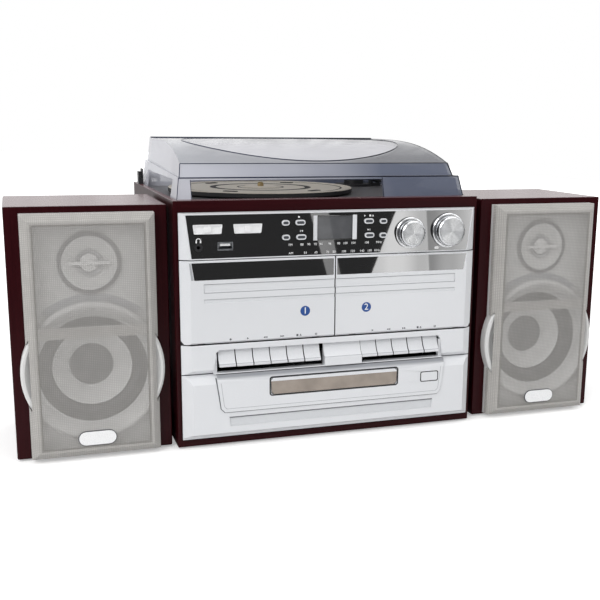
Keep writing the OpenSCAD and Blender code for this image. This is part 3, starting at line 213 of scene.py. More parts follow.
# painted shade for narrow grooves, seams and edges, where hardly any light gets in
shadeLineGrey = surface("shaded_groove_paint", "#5C5E62", "#6C6E72", 0.5, (0.5, 0.6))
shadeLineFaint = surface("half_shaded_groove_paint", "#9A9CA0", "#A8AAAE", 0.5, (0.4, 0.5))
# painted shade: the same silver paint a little darker in the wide groove, and darker still on the slope over
# the drawer that the keys shade
grooveShadeAbs = surface("silver_abs_groove_painted_shade", "#C6C8CB", "#D2D4D7", 0.5, (0.35, 0.45), 0.006)
lipShadeAbs = surface("silver_abs_lip_painted_shade", "#8E9095", "#CFD1D4", 0.5, (0.3, 0.4), 0.006)
# turned brass of the spindle and the mains pins: warm and a little dull
brass = surface("turned_brass", "#A08C64", "#B39E74", 0.8, (0.3, 0.4), sockets={"Metallic": 0.7})
# red moulded ABS of the terminals and line sockets: clean colour, soft gloss
redAbs = surface("red_abs", "#A01B1E", "#B92A2B", 0.8, (0.3, 0.4), 0.01)


def makeCloth(name, see, low, high, thread=0.0018):
    # polyester speaker cloth, woven at 0.9 mm and drawn at twice that so that the threads still show
    material, tree, shader = blank(name, {"Roughness": 0.85, "Alpha": see, "Sheen Weight": 0.15})
    where = add(tree, "TexCoord").outputs["Object"]
    threads = [add(tree, "TexWave", {"Vector": where, "Scale": 0.3142 / thread, "Distortion": 0.3},
            bands_direction=way).outputs["Fac"] for way in ("X", "Z")]
    weave = add(tree, "Math", {0: threads[0], 1: threads[1]}, operation="MULTIPLY")
    uneven = add(tree, "TexNoise", {"Vector": where, "Scale": 90.0, "Detail": 3.0})
    mixed = add(tree, "Math", {0: weave, 1: uneven, 2: 0.25}, operation="MULTIPLY_ADD")
    relief = add(tree, "Bump", {"Height": weave, "Distance": 0.00025, "Strength": 0.5})
    feed(shader, {"Base Color": shade(tree, mixed, low, high, (0.1, 0.85)), "Normal": relief})
    return material


clothOver = makeCloth("grille_cloth_over_frame", 1.0, "#918F8C", "#C2BFBB")
clothSheer = makeCloth("grille_cloth_sheer", 0.5, "#A2A09D", "#CAC7C3")
# painted shade: a darker cloth along the inner edge of the grille frame
clothEdgeShade = makeCloth("grille_cloth_painted_edge_shade", 1.0, "#767470", "#8E8B87")


def makeSmoke(name, see, colours, window=None):
    # moulded smoke-blue acrylic: see-through, with a painted reflection that makes it paler to the left, and
    # an oval polished window in the top
    material, tree, shader = blank(name, {"Coat Weight": 0.04, "Coat Roughness": 0.03, "IOR": 1.49,
            "Specular IOR Level": 0.08, "Alpha": see})
    where = add(tree, "TexCoord").outputs["Object"]
    apart = add(tree, "SeparateXYZ", {"Vector": where})
    cloud = add(tree, "TexNoise", {"Vector": where, "Scale": 9.0, "Detail": 2.0})
    # painted reflection: the colour runs from pale on the left to dark on the right
    across = add(tree, "MapRange", {"Value": apart.outputs["X"], "From Min": -0.16, "From Max": 0.16})
    across = add(tree, "Math", {0: cloud, 1: 0.5, 2: across}, operation="MULTIPLY_ADD")
    colour = shade(tree, across, *colours, (0.25, 1.0)).outputs["Color"]
    if window:
        (x, y), (wide, deep), pale, clearer = window
        middle = at(x, y, 0)
        inside = add(tree, "Mapping", {"Vector": where, "Scale": (1 / wide, 1 / deep, 0),
                "Location": (-middle.x / wide, -middle.y / deep, 0)})
        far = add(tree, "VectorMath", {0: inside}, operation="LENGTH").outputs["Value"]
        mask = add(tree, "MapRange", {"Value": far, "From Min": 0.985, "From Max": 1.0, "To Min": 1.0,
                "To Max": 0.0}).outputs[0]
        colour = add(tree, "Mix", {0: mask, 6: colour, 7: tint(pale)}, data_type="RGBA").outputs[2]
        feed(shader, {"Alpha": add(tree, "MapRange", {"Value": mask, "To Min": see, "To Max": clearer})})
    gloss = add(tree, "MapRange", {"Value": cloud, "To Min": 0.05, "To Max": 0.11})
    feed(shader, {"Base Color": colour, "Roughness": gloss})
    return material


cover = {"middle": (2, 165), "half": (0.132, 0.112), "fold": 294.6, "rise": 22.5, "flatten": 22.5 / 23.7,
         "curve": (235, 189, 2.8), "ledge": 280.5, "frontDepth": 60}
smokeTop = makeSmoke("smoke_blue_acrylic_top", 0.74, ("#ADAFB5", "#737479"), (cover["middle"], cover["half"],
        "#D4D4D9", 0.52))
smokeFront = makeSmoke("smoke_blue_acrylic_front", 0.7, ("#C9CAD2", "#626879"))
# painted light: the side that faces left is paler
smokeSidePaintedLight = makeSmoke("smoke_blue_acrylic_side_painted_light", 0.7, ("#D6D6DE", "#737479"))
# the cover's own edges: one looks along the sheet there, so the smoke is nearly black
smokeEdge = makeSmoke("smoke_blue_acrylic_edge", 0.95, ("#2A3048", "#171B2A"))


def makeSpun(name, centre):
    # aluminium faced on a lathe: fine rings at 0.6 mm, and painted highlights in fans that turn about the
    # middle
    material, tree, shader = blank(name, {"Metallic": 1.0, "Anisotropic": 0.7})
    where = add(tree, "TexCoord").outputs["Object"]
    local = add(tree, "Mapping", {"Vector": where, "Location": -centre})
    apart = add(tree, "SeparateXYZ", {"Vector": local})
    far = add(tree, "VectorMath", {0: local}, operation="LENGTH").outputs["Value"]
    rings = add(tree, "Math", {0: far, 1: 2 * math.pi / 0.0006}, operation="MULTIPLY")
    rings = add(tree, "Math", {0: rings}, operation="SINE")
    about = add(tree, "Math", {0: apart.outputs["Z"], 1: apart.outputs["X"]}, operation="ARCTAN2")
    # painted highlights: two sets of fans around the middle
    fans = []
    for blades, start in ((2.0, -0.9), (5.0, 0.7)):
        fan = add(tree, "Math", {0: about, 1: blades, 2: start}, operation="MULTIPLY_ADD")
        fans.append(add(tree, "Math", {0: fan}, operation="SINE"))
    fan = add(tree, "Math", {0: fans[1], 1: 0.45, 2: fans[0]}, operation="MULTIPLY_ADD")
    fan = add(tree, "Math", {0: fan, 1: 0.4, 2: 0.5}, operation="MULTIPLY_ADD")
    gloss = add(tree, "MapRange", {"Value": rings, "From Min": -1.0, "To Min": 0.24, "To Max": 0.32})
    relief = add(tree, "Bump", {"Height": rings, "Distance": 0.00001, "Strength": 0.3})
    tangent = add(tree, "Tangent", direction_type="RADIAL", axis="Y")
    feed(shader, {"Base Color": shade(tree, fan, "#B2B3B5", "#DEDFE0", (0.15, 0.85)), "Roughness": gloss,
            "Normal": relief, "Tangent": tangent})
    return material


def darkenUpwards(material, low, high):  # painted shade: the silver is greyer the nearer it lies to the keys
    tree = material.node_tree
    place = add(tree, "SeparateXYZ", {"Vector": add(tree, "TexCoord").outputs["Object"]})
    rise = add(tree, "MapRange", {"Value": place.outputs["Z"], "From Min": low, "From Max": high,
            "To Min": 1.0, "To Max": 0.0})
    feed(next(node for node in tree.nodes if node.type == "VALTORGB"), {"Fac": rise})


darkenUpwards(lipShadeAbs, setOut.z + 0.0715, setOut.z + 0.0795)
print("finishes mixed")


# helpers for pieces

slotOf = {row["node"]: row["material_slot"] for row in frame["record"]["subparts"]}
bodyOf = {node: body for body, nodes in frame["record"]["behaviour"]["bodies"].items() for node in nodes}
finishSlots = {
    "silver_plastic": (paintedAbs, shadeLineFaint, shadeLineGrey, grooveShadeAbs),
    "black_plastic": (blackAbs, greyAbs, greyInk),
    "white_plastic": (whiteAbs, whiteInk), "display_glass": (blueInk, lcdGlass), "rubber": (rubber,),
    "bright_plated": (zincSteel, brass), "black_panel": (blackAcrylic,), "smoked_acrylic": (smokeEdge,),
    "grille_cloth": (clothOver, clothSheer, clothEdgeShade),
}


def alone(piece):  # only this piece selected
    bpy.ops.object.select_all(action="DESELECT")
    piece.select_set(True)
    bpy.context.view_layer.objects.active = piece
    return piece


def started(name):  # names what the last operator added
    piece = bpy.context.object
    piece.name = piece.data.name = name
    return piece


def fresh(name, operator, **how):  # a new primitive, selected alone
    bpy.ops.object.select_all(action="DESELECT")
    operator(**how)
    return started(name)


def finished(piece, body, material, slotName=None, smooth=32, replaced=()):
    # applies the place, gives the finish and ties the piece to its body
    alone(piece)
    bpy.ops.object.transform_apply(location=True, rotation=True, scale=True)
    if material:
        piece.data.materials.clear()
        piece.data.materials.append(material)
    bpy.ops.object.shade_smooth_by_angle(angle=math.radians(smooth))
    even = piece.modifiers.new("flat faces stay flat", "WEIGHTED_NORMAL")
    even.keep_sharp = True
    bpy.ops.object.modifier_apply(modifier=even.name)
    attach(piece, body)
    slotName or next(slot for slot, finishes in finishSlots.items() if material in finishes)
    if replaced:
        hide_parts(*replaced)
    return piece


def remade(node, name, edge=0.0, steps=2, angle=30, simpler=True):
    # a merged copy of a CAD node's mesh, with its sharp edges rounded by edge millimetres
    piece = bpy.data.objects.new(name, frame["nodes"][node].data.copy())
    piece.data.name = name
    bpy.context.scene.collection.objects.link(piece)
    alone(piece)
    bpy.ops.mesh.customdata_custom_splitnormals_clear()
    bpy.ops.object.mode_set(mode="EDIT")
    bpy.ops.mesh.select_all(action="SELECT")
    bpy.ops.mesh.remove_doubles(threshold=0.000002)
    if simpler:
        bpy.ops.mesh.dissolve_limited(angle_limit=math.radians(0.4))
    bpy.ops.object.mode_set(mode="OBJECT")
    if edge:
        bevel = piece.modifiers.new("rounded edges", "BEVEL")
        bevel.width = edge / 1000
        bevel.segments = steps
        bevel.limit_method = "ANGLE"
        bevel.angle_limit = math.radians(angle)
        bevel.miter_outer = "MITER_ARC"
        bpy.ops.object.modifier_apply(modifier=bevel.name)
    return piece


def cutAcross(piece, places, normal):  # new edges across a flat piece, so that its parts can differ
    alone(piece)
    bpy.ops.object.mode_set(mode="EDIT")
    for place in places:
        bpy.ops.mesh.select_all(action="SELECT")
        bpy.ops.mesh.bisect(plane_co=place, plane_no=normal)
    bpy.ops.object.mode_set(mode="OBJECT")


def dressed(piece, materials, choose):
    # gives each face one of the materials, from its place p in millimetres and its normal n
    piece.data.materials.clear()
    for material in materials:
        piece.data.materials.append(material)
    for face in piece.data.polygons:
        face.material_index = choose((face.center - setOut) * 1000, face.normal)


def rounded(node, name, materials, choose=None, edge=0.0, cuts=None, slotName=None, **how):
    # a copy with rounded edges and its own finishes, which stands for the CAD node
    piece = remade(node, name, edge, **how)
    if cuts:
        cutAcross(piece, *cuts)
    if choose:
        dressed(piece, materials, choose)
    return finished(piece, bodyOf[node], None if choose else materials, slotName or slotOf[node],
            replaced=[node])


def roundEnds(x, z, w, h, steps=8):  # outline with round ends
    half, r = (w - h) / 2, h / 2
    turns = [math.pi * (i / steps - 0.5) for i in range(steps + 1)]
    return [(x + half + r * math.cos(a), z + r * math.sin(a)) for a in turns] + \
        [(x - half - r * math.cos(a), z - r * math.sin(a)) for a in turns]


def ringLine(x, z, r, steps=48):
    turns = [2 * math.pi * i / steps for i in range(steps)]
    return [(x + r * math.cos(a), z + r * math.sin(a)) for a in turns]


def arc(x, z, r1, r2, a1, a2, steps=24):  # a band of a ring, between two angles in degrees
    turns = [math.radians(a1 + (a2 - a1) * i / steps) for i in range(steps + 1)]
    return [(x + r2 * math.cos(a), z + r2 * math.sin(a)) for a in turns] + \
        [(x + r1 * math.cos(a), z + r1 * math.sin(a)) for a in turns[::-1]]


def oblong(x1, z1, x2, z2):
    return [(x1, z1), (x2, z1), (x2, z2), (x1, z2)]


def turned(outline, sense):  # the outline itself at 1, its mirror image at -1
    return [(sense * x, z) for x, z in outline]


def bothSides(half):  # the right half of an outline, from the top down, made whole
    return turned(half, -1) + half[::-1]


def trough(half, wide, bend=44):  # the outline of a band that runs down, across below bend and up again
    points = bothSides(half)
    inner = [(x - math.copysign(wide, x), z + (wide if z < bend else 0)) for x, z in points]
    return points + inner[::-1]


def plaque(name, outline, y, depth, corner=0.0, border=0.0, lying=False):
    # a flat outline (x, z) in millimetres, its front at y, made depth thick to the back,
    # or where it is lying an outline (x, y) with its top at y
    piece = fresh(name, bpy.ops.mesh.primitive_circle_add, vertices=len(outline), radius=0.01,
            fill_type="NGON")
    bpy.ops.object.mode_set(mode="EDIT")
    shape = bmesh.from_edit_mesh(piece.data)
    for vert, (x, z) in zip(shape.verts, outline):
        vert.co = at(x, z, y) if lying else at(x, y, z)
    bmesh.update_edit_mesh(piece.data)
    bpy.ops.mesh.select_all(action="SELECT")
    if corner:
        bpy.ops.mesh.bevel(offset=corner / 1000, segments=4, affect="VERTICES")
        bpy.ops.mesh.select_all(action="SELECT")
    if border:
        bpy.ops.mesh.inset(thickness=border / 1000, depth=0)
        bpy.ops.mesh.delete(type="FACE")
        bpy.ops.mesh.select_all(action="SELECT")
    inward = (0, 0, -depth / 1000) if lying else (0, depth / 1000, 0)
    bpy.ops.mesh.extrude_region_move(TRANSFORM_OT_translate={"value": inward})
    bpy.ops.mesh.select_all(action="SELECT")
    bpy.ops.mesh.normals_make_consistent(inside=False)
    bpy.ops.object.mode_set(mode="OBJECT")
    return piece


def fitted(name, body, material, *flat, **how):  # a plaque, finished
    return finished(plaque(name, *flat, **how), body, material)


def bead(name, points, thick, closed=False):
    # a round bead, thick millimetres across, along a line of points
    count = len(points) if closed else len(points) + 1
    piece = fresh(name, bpy.ops.mesh.primitive_circle_add, vertices=count, radius=0.01)
    bpy.ops.object.mode_set(mode="EDIT")
    shape = bmesh.from_edit_mesh(piece.data)
    shape.verts.ensure_lookup_table()
    for vert, point in zip(shape.verts, points):
        vert.co = at(*point)
    if not closed:
        bpy.ops.mesh.select_all(action="DESELECT")
        shape.verts[len(points)].select_set(True)
        bpy.ops.mesh.delete(type="VERT")
    bpy.ops.object.mode_set(mode="OBJECT")
    bpy.ops.object.convert(target="CURVE")
    line = bpy.context.object
    line.data.bevel_depth = thick / 2000
    line.data.bevel_resolution = 2
    line.data.use_fill_caps = not closed
    bpy.ops.object.convert(target="MESH")
    return started(name)


def figures(text, x, y, z, high):  # printed figures, upright and facing the front
    words = fresh("figures", bpy.ops.object.text_add)
    words.data.body = text
    words.data.size = high / 1000 * 1.38  # a figure is 1 / 1.38 of the letter size
    words.data.extrude = 0.00005
    words.data.align_x = "CENTER"
    words.data.align_y = "CENTER"
    words.data.resolution_u = 3
    bpy.ops.object.convert(target="MESH")
    words = alone(bpy.context.object)
    words.rotation_euler = (math.pi / 2, 0, 0)
    words.location = at(x, y, z)
    bpy.ops.object.transform_apply(location=True, rotation=True, scale=True)
    return words


def joined(name, pieces):
    alone(pieces[0])
    for piece in pieces:
        piece.select_set(True)
    if len(pieces) > 1:
        bpy.ops.object.join()
    return started(name)


def sign(kind, x, z, y, s):  # the usual tape and disc symbols, s millimetres high
    h = s / 2
    arrow = [(x - h, z - h), (x + h * 0.9, z), (x - h, z + h)]
    back = [(2 * x - a, b) for a, b in arrow]
    shift = lambda outline, dx: [(a + dx, b) for a, b in outline]
    shapes = {
        "record": [ringLine(x, z, h, 16)],
        "play": [arrow],
        "rewind": [shift(back, -h), shift(back, h)],
        "forward": [shift(arrow, -h), shift(arrow, h)],
        "stop": [oblong(x - h - s, z - h, x + h - s, z + h),
                 [(x + 0.2, z - h * 0.2), (x + s + 0.2, z - h * 0.2), (x + h + 0.2, z + h)],
                 oblong(x + 0.2, z - h, x + s + 0.2, z - h * 0.5)],
        "pause": [oblong(x - h, z - h, x - h * 0.3, z + h), oblong(x + h * 0.3, z - h, x + h, z + h)],
        "skip": [shift(arrow, -h), oblong(x + h * 0.5, z - h, x + h, z + h)],
        "back": [shift(back, h), oblong(x - h, z - h, x - h * 0.5, z + h)],
    }
    return [plaque("sign", outline, y, 0.05) for outline in shapes[kind]]


# cabinet and speakers in foil

cabinet = {"edge": 0.7, "speakerEdge": 1.6, "inside": 161, "tops": 200}


def foilFaces(p, n):  # the grain runs along each board
    # the tops take the foil with the painted sheen
    if n.z > 0.7 and p.z > cabinet["tops"]:
        return 3
    if abs(n.z) > 0.7:
        return 0 if abs(p.x) < cabinet["inside"] else 2
    return 0 if abs(n.y) > 0.7 and abs(p.x) < cabinet["inside"] else 1


def speakerFaces(p, n):
    # the tops take the foil with the painted sheen
    if n.z > 0.7 and p.z > cabinet["tops"]:
        return 2
    return 0 if abs(n.z) > 0.7 else 1


rounded("cabinet_shell", "foiled_cabinet", [foilLying, foilUpright, foilDeep, foilTopPaintedSheen], foilFaces,
        cabinet["edge"], cuts=([at(side * cabinet["inside"], 0, 0) for side in (-1, 1)], (1, 0, 0)))
rounded("speaker_cabinets", "foiled_speaker_boxes", [foilDeep, foilUpright, foilTopPaintedSheen], speakerFaces,
        cabinet["speakerEdge"])
print("cabinet and speaker boxes foiled")

# finishes of the CAD nodes that keep their own shape

plainFinish = {
    "back_panel": hardboard, "rubber_feet": rubber, "control_panel": blackAcrylic, "disc_mechanism": greyAbs,
    "cassette_mechanisms": zincSteel, "circuit_boards": boardGreen, "power_transformer": coreIron,
    "turntable_deck": deckPaint, "platter_bearing": zincSteel, "drive_motor": zincSteel, "arm_base": blackAbs,
    "cover_hinges": blackAbs, "arm_gimbal": greyAbs, "tonearm": chrome, "headshell": blackAbs,
    "lift_lever": blackAbs, "speed_switch": blackAbs, "function_switch": whiteAbs, "band_switch": whiteAbs,
}
for name, material in plainFinish.items():
    frame["nodes"][name].data.materials.clear()
    frame["nodes"][name].data.materials.append(material)

# moulded front, doors, panels and keys with rounded edges

# painted shade: faces inside the seams and gaps, and those that face into them, are black, so seams and gaps
# read as black lines;
# each "ShadeDepth" is the y behind which that black lies
front = {
    "frameEdge": 0.6, "frameShadeDepth": -3.3, "wellShadeDepth": -9, "wells": (110, 200),
    "doorEdge": 0.7, "doorShadeDepth": -3.4, "doorFoot": 114,
    "panelShadeDepth": -3.2, "keyPanelTop": 110, "lineSide": 32, "lineFront": -5,
    "discEdge": 0.5, "lipLow": 72.5, "lipSide": 127,
    "keyEdge": 0.5, "keyShadeDepth": -4, "keyLine": (90.7, 91.2), "wall": 0.95,
}
# keyLine: the band across the keys and the blank panel that takes a painted shade line
lineLow, lineHigh = front["keyLine"]
lineCuts = ([at(0, 0, z) for z in front["keyLine"]], (0, 0, 1))


def frameFaces(p, n):
    low, high = front["wells"]
    return 1 if p.y > front["frameShadeDepth"] or low < p.z < high and p.y > front["wellShadeDepth"] else 0


def keyPanelFaces(p, n):
    if lineLow < p.z < lineHigh and abs(p.x) < front["lineSide"] and p.y < front["lineFront"]:
        return 2
    return 1 if n.z > front["wall"] and p.z > front["keyPanelTop"] or p.y > front["panelShadeDepth"] else 0


def discPanelFaces(p, n):
    if p.y > front["panelShadeDepth"]:
        return 1
    # the slope over the drawer gets the silver with painted shade
    return 2 if p.z > front["lipLow"] and n.z > 0.1 and abs(p.x) < front["lipSide"] else 0


def doorFaces(p, n):
    underneath = n.z < -front["wall"] and p.z < front["doorFoot"]
    between = abs(n.x) > front["wall"] and abs(p.x) < 1
    return 1 if p.y > front["doorShadeDepth"] or underneath or between else 0


def keyFaces(p, n):
    if p.y > front["keyShadeDepth"] or abs(n.x) > front["wall"]:
        return 1
    return 2 if lineLow < p.z < lineHigh else 0


# each piece below is black in its seams and gaps as painted shade
rounded("front_frame", "silver_front", [paintedAbs, blackAbs], frameFaces, front["frameEdge"])
rounded("key_panel", "silver_key_panel", [paintedAbs, blackAbs, shadeLineFaint], keyPanelFaces, front["doorEdge"],
        cuts=lineCuts)
rounded("disc_panel", "silver_disc_panel", [paintedAbs, blackAbs, lipShadeAbs], discPanelFaces, front["discEdge"],
        simpler=False)
for side in ("left", "right"):
    rounded("cassette_door_" + side, "silver_door_" + side, [paintedAbs, blackAbs], doorFaces,
            front["doorEdge"])
keySigns = {
    "left": ("record", "play", "rewind", "forward", "stop", "pause"),
    "right": ("play", "rewind", "forward", "stop", "pause"),
}
for side, kinds in keySigns.items():
    for kind in kinds:
        name = "record_key" if kind == "record" else kind + "_key_" + side
        rounded(name, "rounded_" + name, [keyAndBarShadeAbs, blackAbs, shadeLineFaint], keyFaces, front["keyEdge"],
                cuts=lineCuts)
print("front, doors and keys rounded")

# black strip, grooves, painted shade lines, badges and symbols of the doors

doorArt = {
    "face": -10.0, "strip": [(1.9, 179.9), (151.5, 179.9), (154.3, 197.8), (1.9, 197.8)],
    "step": (1.2, 166.3, 141.2, 169.0),
    # each painted shade line along a groove: its outline and how far behind the face it lies
    "lines": (((1.2, 175.0, 142.2, 175.7), 0.9), ((1.2, 166.3, 142.2, 166.8), 0.45),
              ((1.2, 159.2, 142.2, 159.8), 0.7), ((141.7, 166.4, 142.2, 175.0), 0.9)),
    "badge": 5.4, "badgeAt": {"left": (-33.5, 142.5), "right": (36.1, 142.9)},
    "numbers": {"left": "1", "right": "2"}, "numberHigh": 7.2,
    "firstSign": {"left": -114.7, "right": 44.0}, "signAt": 116.6, "signHigh": 2.2, "keyPitch": 18.7,
    "stripEnd": [(-156.6, 197.6), (-154.9, 197.6), (-152.1, 180.1), (-154.6, 180.1)],
}
y = doorArt["face"]
for side, sense in (("left", -1), ("right", 1)):
    door = "door_" + side
    fitted("black_strip_" + side, door, blackAcrylic, turned(doorArt["strip"], sense), y - 0.08, 0.3,
            corner=0.8)
    fitted("groove_step_" + side, door, paintedAbs, turned(oblong(*doorArt["step"]), sense), y + 0.55, 0.6)
    lines = [plaque("line", turned(oblong(*line), sense), y + deep, 0.1) for line, deep in doorArt["lines"]]
    finished(joined("groove_shade_lines_" + side, lines), door, shadeLineFaint)
    x, z = doorArt["badgeAt"][side]
    fitted("badge_" + side, door, blueInk, ringLine(x, z, doorArt["badge"]), y - 0.06, 0.1)
    number = figures(doorArt["numbers"][side], x, y - 0.1, z, doorArt["numberHigh"])
    finished(joined("badge_number_" + side, [number]), door, whiteInk)
for side, kinds in keySigns.items():
    made = []
    for i, kind in enumerate(kinds):
        x = doorArt["firstSign"][side] + doorArt["keyPitch"] * i
        made += sign(kind, x, doorArt["signAt"], y - 0.06, doorArt["signHigh"])
    finished(joined("key_signs_" + side, made), "door_" + side, greyInk)
# painted shade on the bevel at the strip's left end
fitted("strip_end_shade", "door_left", shadeLineFaint, doorArt["stripEnd"], y - 0.05, 0.1)
print("doors printed")

# control section

panel = {
    "face": -10.0, "recess": -8.8, "ink": -10.06,
    "wells": {"function": (-137.0, 231.8), "band": (-95.4, 231.7)},
    "wellShape": ((-15.2, 4.8), (15.2, 4.8), (14, -4.8), (-14, -4.8)),
    "bars": (18.75, -20.5), "lcd": (-20.3, 218.6, 18.3, 242.2),
    "socketsMeet": -135, "usbTongue": (-124.6, 214.6, -113.8, 216.8),
    "headphones": (-146.6, 220.4), "light": (117.7, 205.3, 5.4, 2.6), "figureHigh": 2.5, "signHigh": 2.0,
    "scales": {
        213.4: (("FM", -50), ("88", -37.5), ("90", -30), ("92", -22.6), ("94", -16.6), ("96", -6.6),
                ("98", 3.2), ("100", 10.6), ("104", 19.6), ("108", 35), ("MHz", 49)),
        204.6: (("AM", -49.5), ("53", -33.8), ("60", -22), ("70", -9.1), ("80", -1.8), ("100", 9),
                ("120", 19), ("140", 29.8), ("160", 38.4), ("KHz", 47)),
    },
    "signs": (("record", -40.9, 242.4), ("back", -38.6, 227.8), ("play", 32.6, 242.2),
              ("stop", 40.5, 242.2), ("skip", 37.7, 227.2)),
}
for name, (x, z) in panel["wells"].items():
    outline = [(x + a, z + b) for a, b in panel["wellShape"]]
    fitted(name + "_window", "main_unit", whiteAbs, outline, panel["recess"] - 0.12, 0.1)
    fitted(name + "_window_rim", "main_unit", whiteAbs, outline, panel["face"] - 0.25, 1.2, corner=1.2,
            border=1.0)

barRight, barLeft = panel["bars"]
# painted shade: the display's left bar takes the darker key paint, and the right bar the plain silver
rounded("display_window", "display_window_frame", [paintedAbs, keyAndBarShadeAbs, blackAcrylic], lambda p, n: 0
        if p.x > barRight else 1 if p.x < barLeft else 2, 0.3, cuts=([at(x, 0, 0) for x in panel["bars"]],
        (1, 0, 0)))
fitted("lcd_glass", "main_unit", lcdGlass, oblong(*panel["lcd"]), panel["recess"] + 0.05, 0.1, corner=0.4)
rounded("front_sockets", "headphone_and_usb_sockets", [blackAbs, zincSteel], lambda p, n: 0
        if p.x < panel["socketsMeet"] else 1, 0.25)
fitted("usb_tongue", "main_unit", whiteAbs, oblong(*panel["usbTongue"]), panel["face"] + 0.6, 6, corner=0.2)

# the headphone sign is a band over the head with two cups
x, z = panel["headphones"]
turns = [math.pi * i / 10 for i in range(11)]
band = [(x + 2.7 * math.cos(a), z + 2.7 * math.sin(a)) for a in turns] + \
    [(x - 1.9 * math.cos(a), z + 1.9 * math.sin(a)) for a in turns]
marks = [plaque("mark", outline, panel["ink"], 0.1) for outline in (band, oblong(x - 2.9, z - 2.2, x - 1.5,
        z + 0.3), oblong(x + 1.5, z - 2.2, x + 2.9, z + 0.3))]
for z, row in panel["scales"].items():
    marks += [figures(text, x, panel["ink"], z, panel["figureHigh"]) for text, x in row]
marks.append(plaque("mark", roundEnds(*panel["light"]), panel["ink"], 0.1))
for kind, x, z in panel["signs"]:
    marks += sign(kind, x, z, panel["ink"], panel["signHigh"])
finished(joined("scale_print", marks), "main_unit", whiteInk)

# silver oval caps with a dark oval inlay: middle and width of each
buttons = {
    "source": (-55.3, 236.6, 8.4), "record": (-39.4, 236.6, 10.8), "folder": (-54.9, 221.5, 8.4),
    "back": (-38.4, 221.4, 10.8), "pause": (37, 236.4, 10.8), "mode": (53.6, 236, 8.4),
    "skip": (37.9, 221.3, 10.8), "search": (53.7, 220.8, 8.4),
}
for name, (x, z, w) in buttons.items():
    button = name + "_button"
    rounded(button, "oval_" + button, paintedAbs, edge=0.5)
    fitted(name + "_inlay", button + "_body", greyAbs, roundEnds(x, z, w - 2.6, 2.9), -11.5, 0.3)

# middle and radius of each knob, and how far inside its rim the spun face and the grey collar lie
knobs = {"volume": (85.0, 222.6, 17.0), "tuning": (130.3, 224.2, 19.0)}
knobShape = {"front": -22, "spun": 5, "collar": 2.2, "collarFront": -14.5}
for name, (x, z, r) in knobs.items():
    middle = Vector((x, knobShape["front"], z))

    def knobFaces(p, n):
        if n.y < -0.9 and (p - middle).length < r - knobShape["spun"]:
            return 1
        inside = math.hypot(p.x - x, p.z - z) < r - knobShape["collar"]
        return 2 if inside and p.y > knobShape["collarFront"] else 0

    rounded(name + "_knob", "turned_" + name + "_knob", [chrome, makeSpun("spun_aluminium_" + name,
            at(*middle)), greyAbs], knobFaces, 0.25)
print("control section dressed")

# disc section: painted shade lines and painted shadows of the field round the drawer

face, field = -13.0, -14.4
# painted shade: grey and black lines where the groove, the field's edge and the gaps round the drawer and
# eject button are shaded
discLines = (  # name, outline, front, depth, corner and border, lean above a height, finish
    ("groove_shade", oblong(-117.2, 32.2, 117.2, 33.2), face + 0.35, 0.3, (0, 0), None, shadeLineGrey),
    ("groove_bed", bothSides([(117.3, 32.1), (116.2, 23.4)]), face + 1.1, 0.3, (0, 0), None, grooveShadeAbs),
    ("groove_rim", bothSides([(118.6, 33.7), (117, 22.6)]), face - 0.05, 0.2, (0, 0.5), None, shadeLineFaint),
    ("field_outline", trough([(131.3, 76), (130.9, 70), (126.8, 42.6), (122.4, 38.1)], 1.1),
     face - 0.08, 0.2, (0, 0), (70, 0.64), shadeLineGrey),
    ("field_inner_line", trough([(126.4, 71), (123.2, 45.4), (120.6, 42.6)], 0.45),
     field - 0.05, 0.2, (0, 0), None, shadeLineFaint),
    ("drawer_surround", oblong(-74.1, 52.9, 74.1, 74.2), field - 0.06, 0.3, (3.2, 1.5), (71, 0.2), blackAbs),
    ("eject_surround", oblong(100.9, 54.2, 123.1, 66.2), field - 0.05, 0.3, (2.2, 1.2), None, blackAbs),
)
for name, outline, y, depth, (corner, border), lean, material in discLines:
    piece = plaque(name, outline, y, depth, corner, border)
    if lean:  # what lies above a height leans back with the panel under it
        low, slope = lean
        for vert in piece.data.vertices:
            over = (vert.co.z - setOut.z) * 1000 - low
            vert.co.y += max(0, over) * slope / 1000
    finished(piece, "main_unit", material)
rounded("eject_button", "rounded_eject_button", paintedAbs, edge=0.5)
rounded("disc_drawer", "rounded_drawer", paintedAbs, edge=0.5)
rounded("drawer_window", "rounded_drawer_window", smokedStrip, edge=0.4)

# turntable

turntable = {
    "middle": (-40.0, 150.6), "top": 262.4, "edge": 0.3, "pin": (4.2, 263.6), "rim": 104,
    "rings": {"platter_ring_inner": (60, 7), "platter_ring_outer": (97, 2), "platter_ring_label": (28, 2)},
    "pads": (-128, -58, 52, 122), "padShape": (80.6, -8, 87.4, 8),
}
middleX, middleY = turntable["middle"]


def platterFaces(p, n):  # cream on top, black round the rim and below, a brass spindle
    r = math.hypot(p.x - middleX, p.y - middleY)
    pinRadius, pinLow = turntable["pin"]
    if r < pinRadius and p.z > pinLow:
        return 2
    return 1 if r > turntable["rim"] and n.z < 0.6 or n.z < -0.5 else 0


rounded("platter", "turned_platter", [platterPaint, rubber, brass], platterFaces, turntable["edge"])
for name, (r, wide) in turntable["rings"].items():
    fitted(name, "platter_body", rubber, ringLine(middleX, middleY, r, 96), turntable["top"] + 0.15, 0.3,
            border=wide, lying=True)
pads = []
for turn in turntable["pads"]:
    across, up = math.cos(math.radians(turn)), math.sin(math.radians(turn))
    corners = [(middleX + across * u - up * v, middleY + up * u + across * v) for u,
            v in oblong(*turntable["padShape"])]
    pads.append(plaque("pad", corners, turntable["top"] + 0.6, 0.8, corner=1.0, lying=True))
finished(joined("platter_pads", pads), "platter_body", rubber)


def crest(y):  # height of the cover's top, a millimetre under the CAD model's for the raised rear edge
    start, run, power = cover["curve"]
    return cover["fold"] + cover["rise"] * (1 - max(0, (start - y) / run) ** power)


def coverFaces(p, n):
    if abs(n.y) > 0.45 and p.y < cover["frontDepth"] or p.z < cover["ledge"]:
        return 1
    # faces that look left get the smoke with painted light
    return 2 if n.x < -0.5 else 0


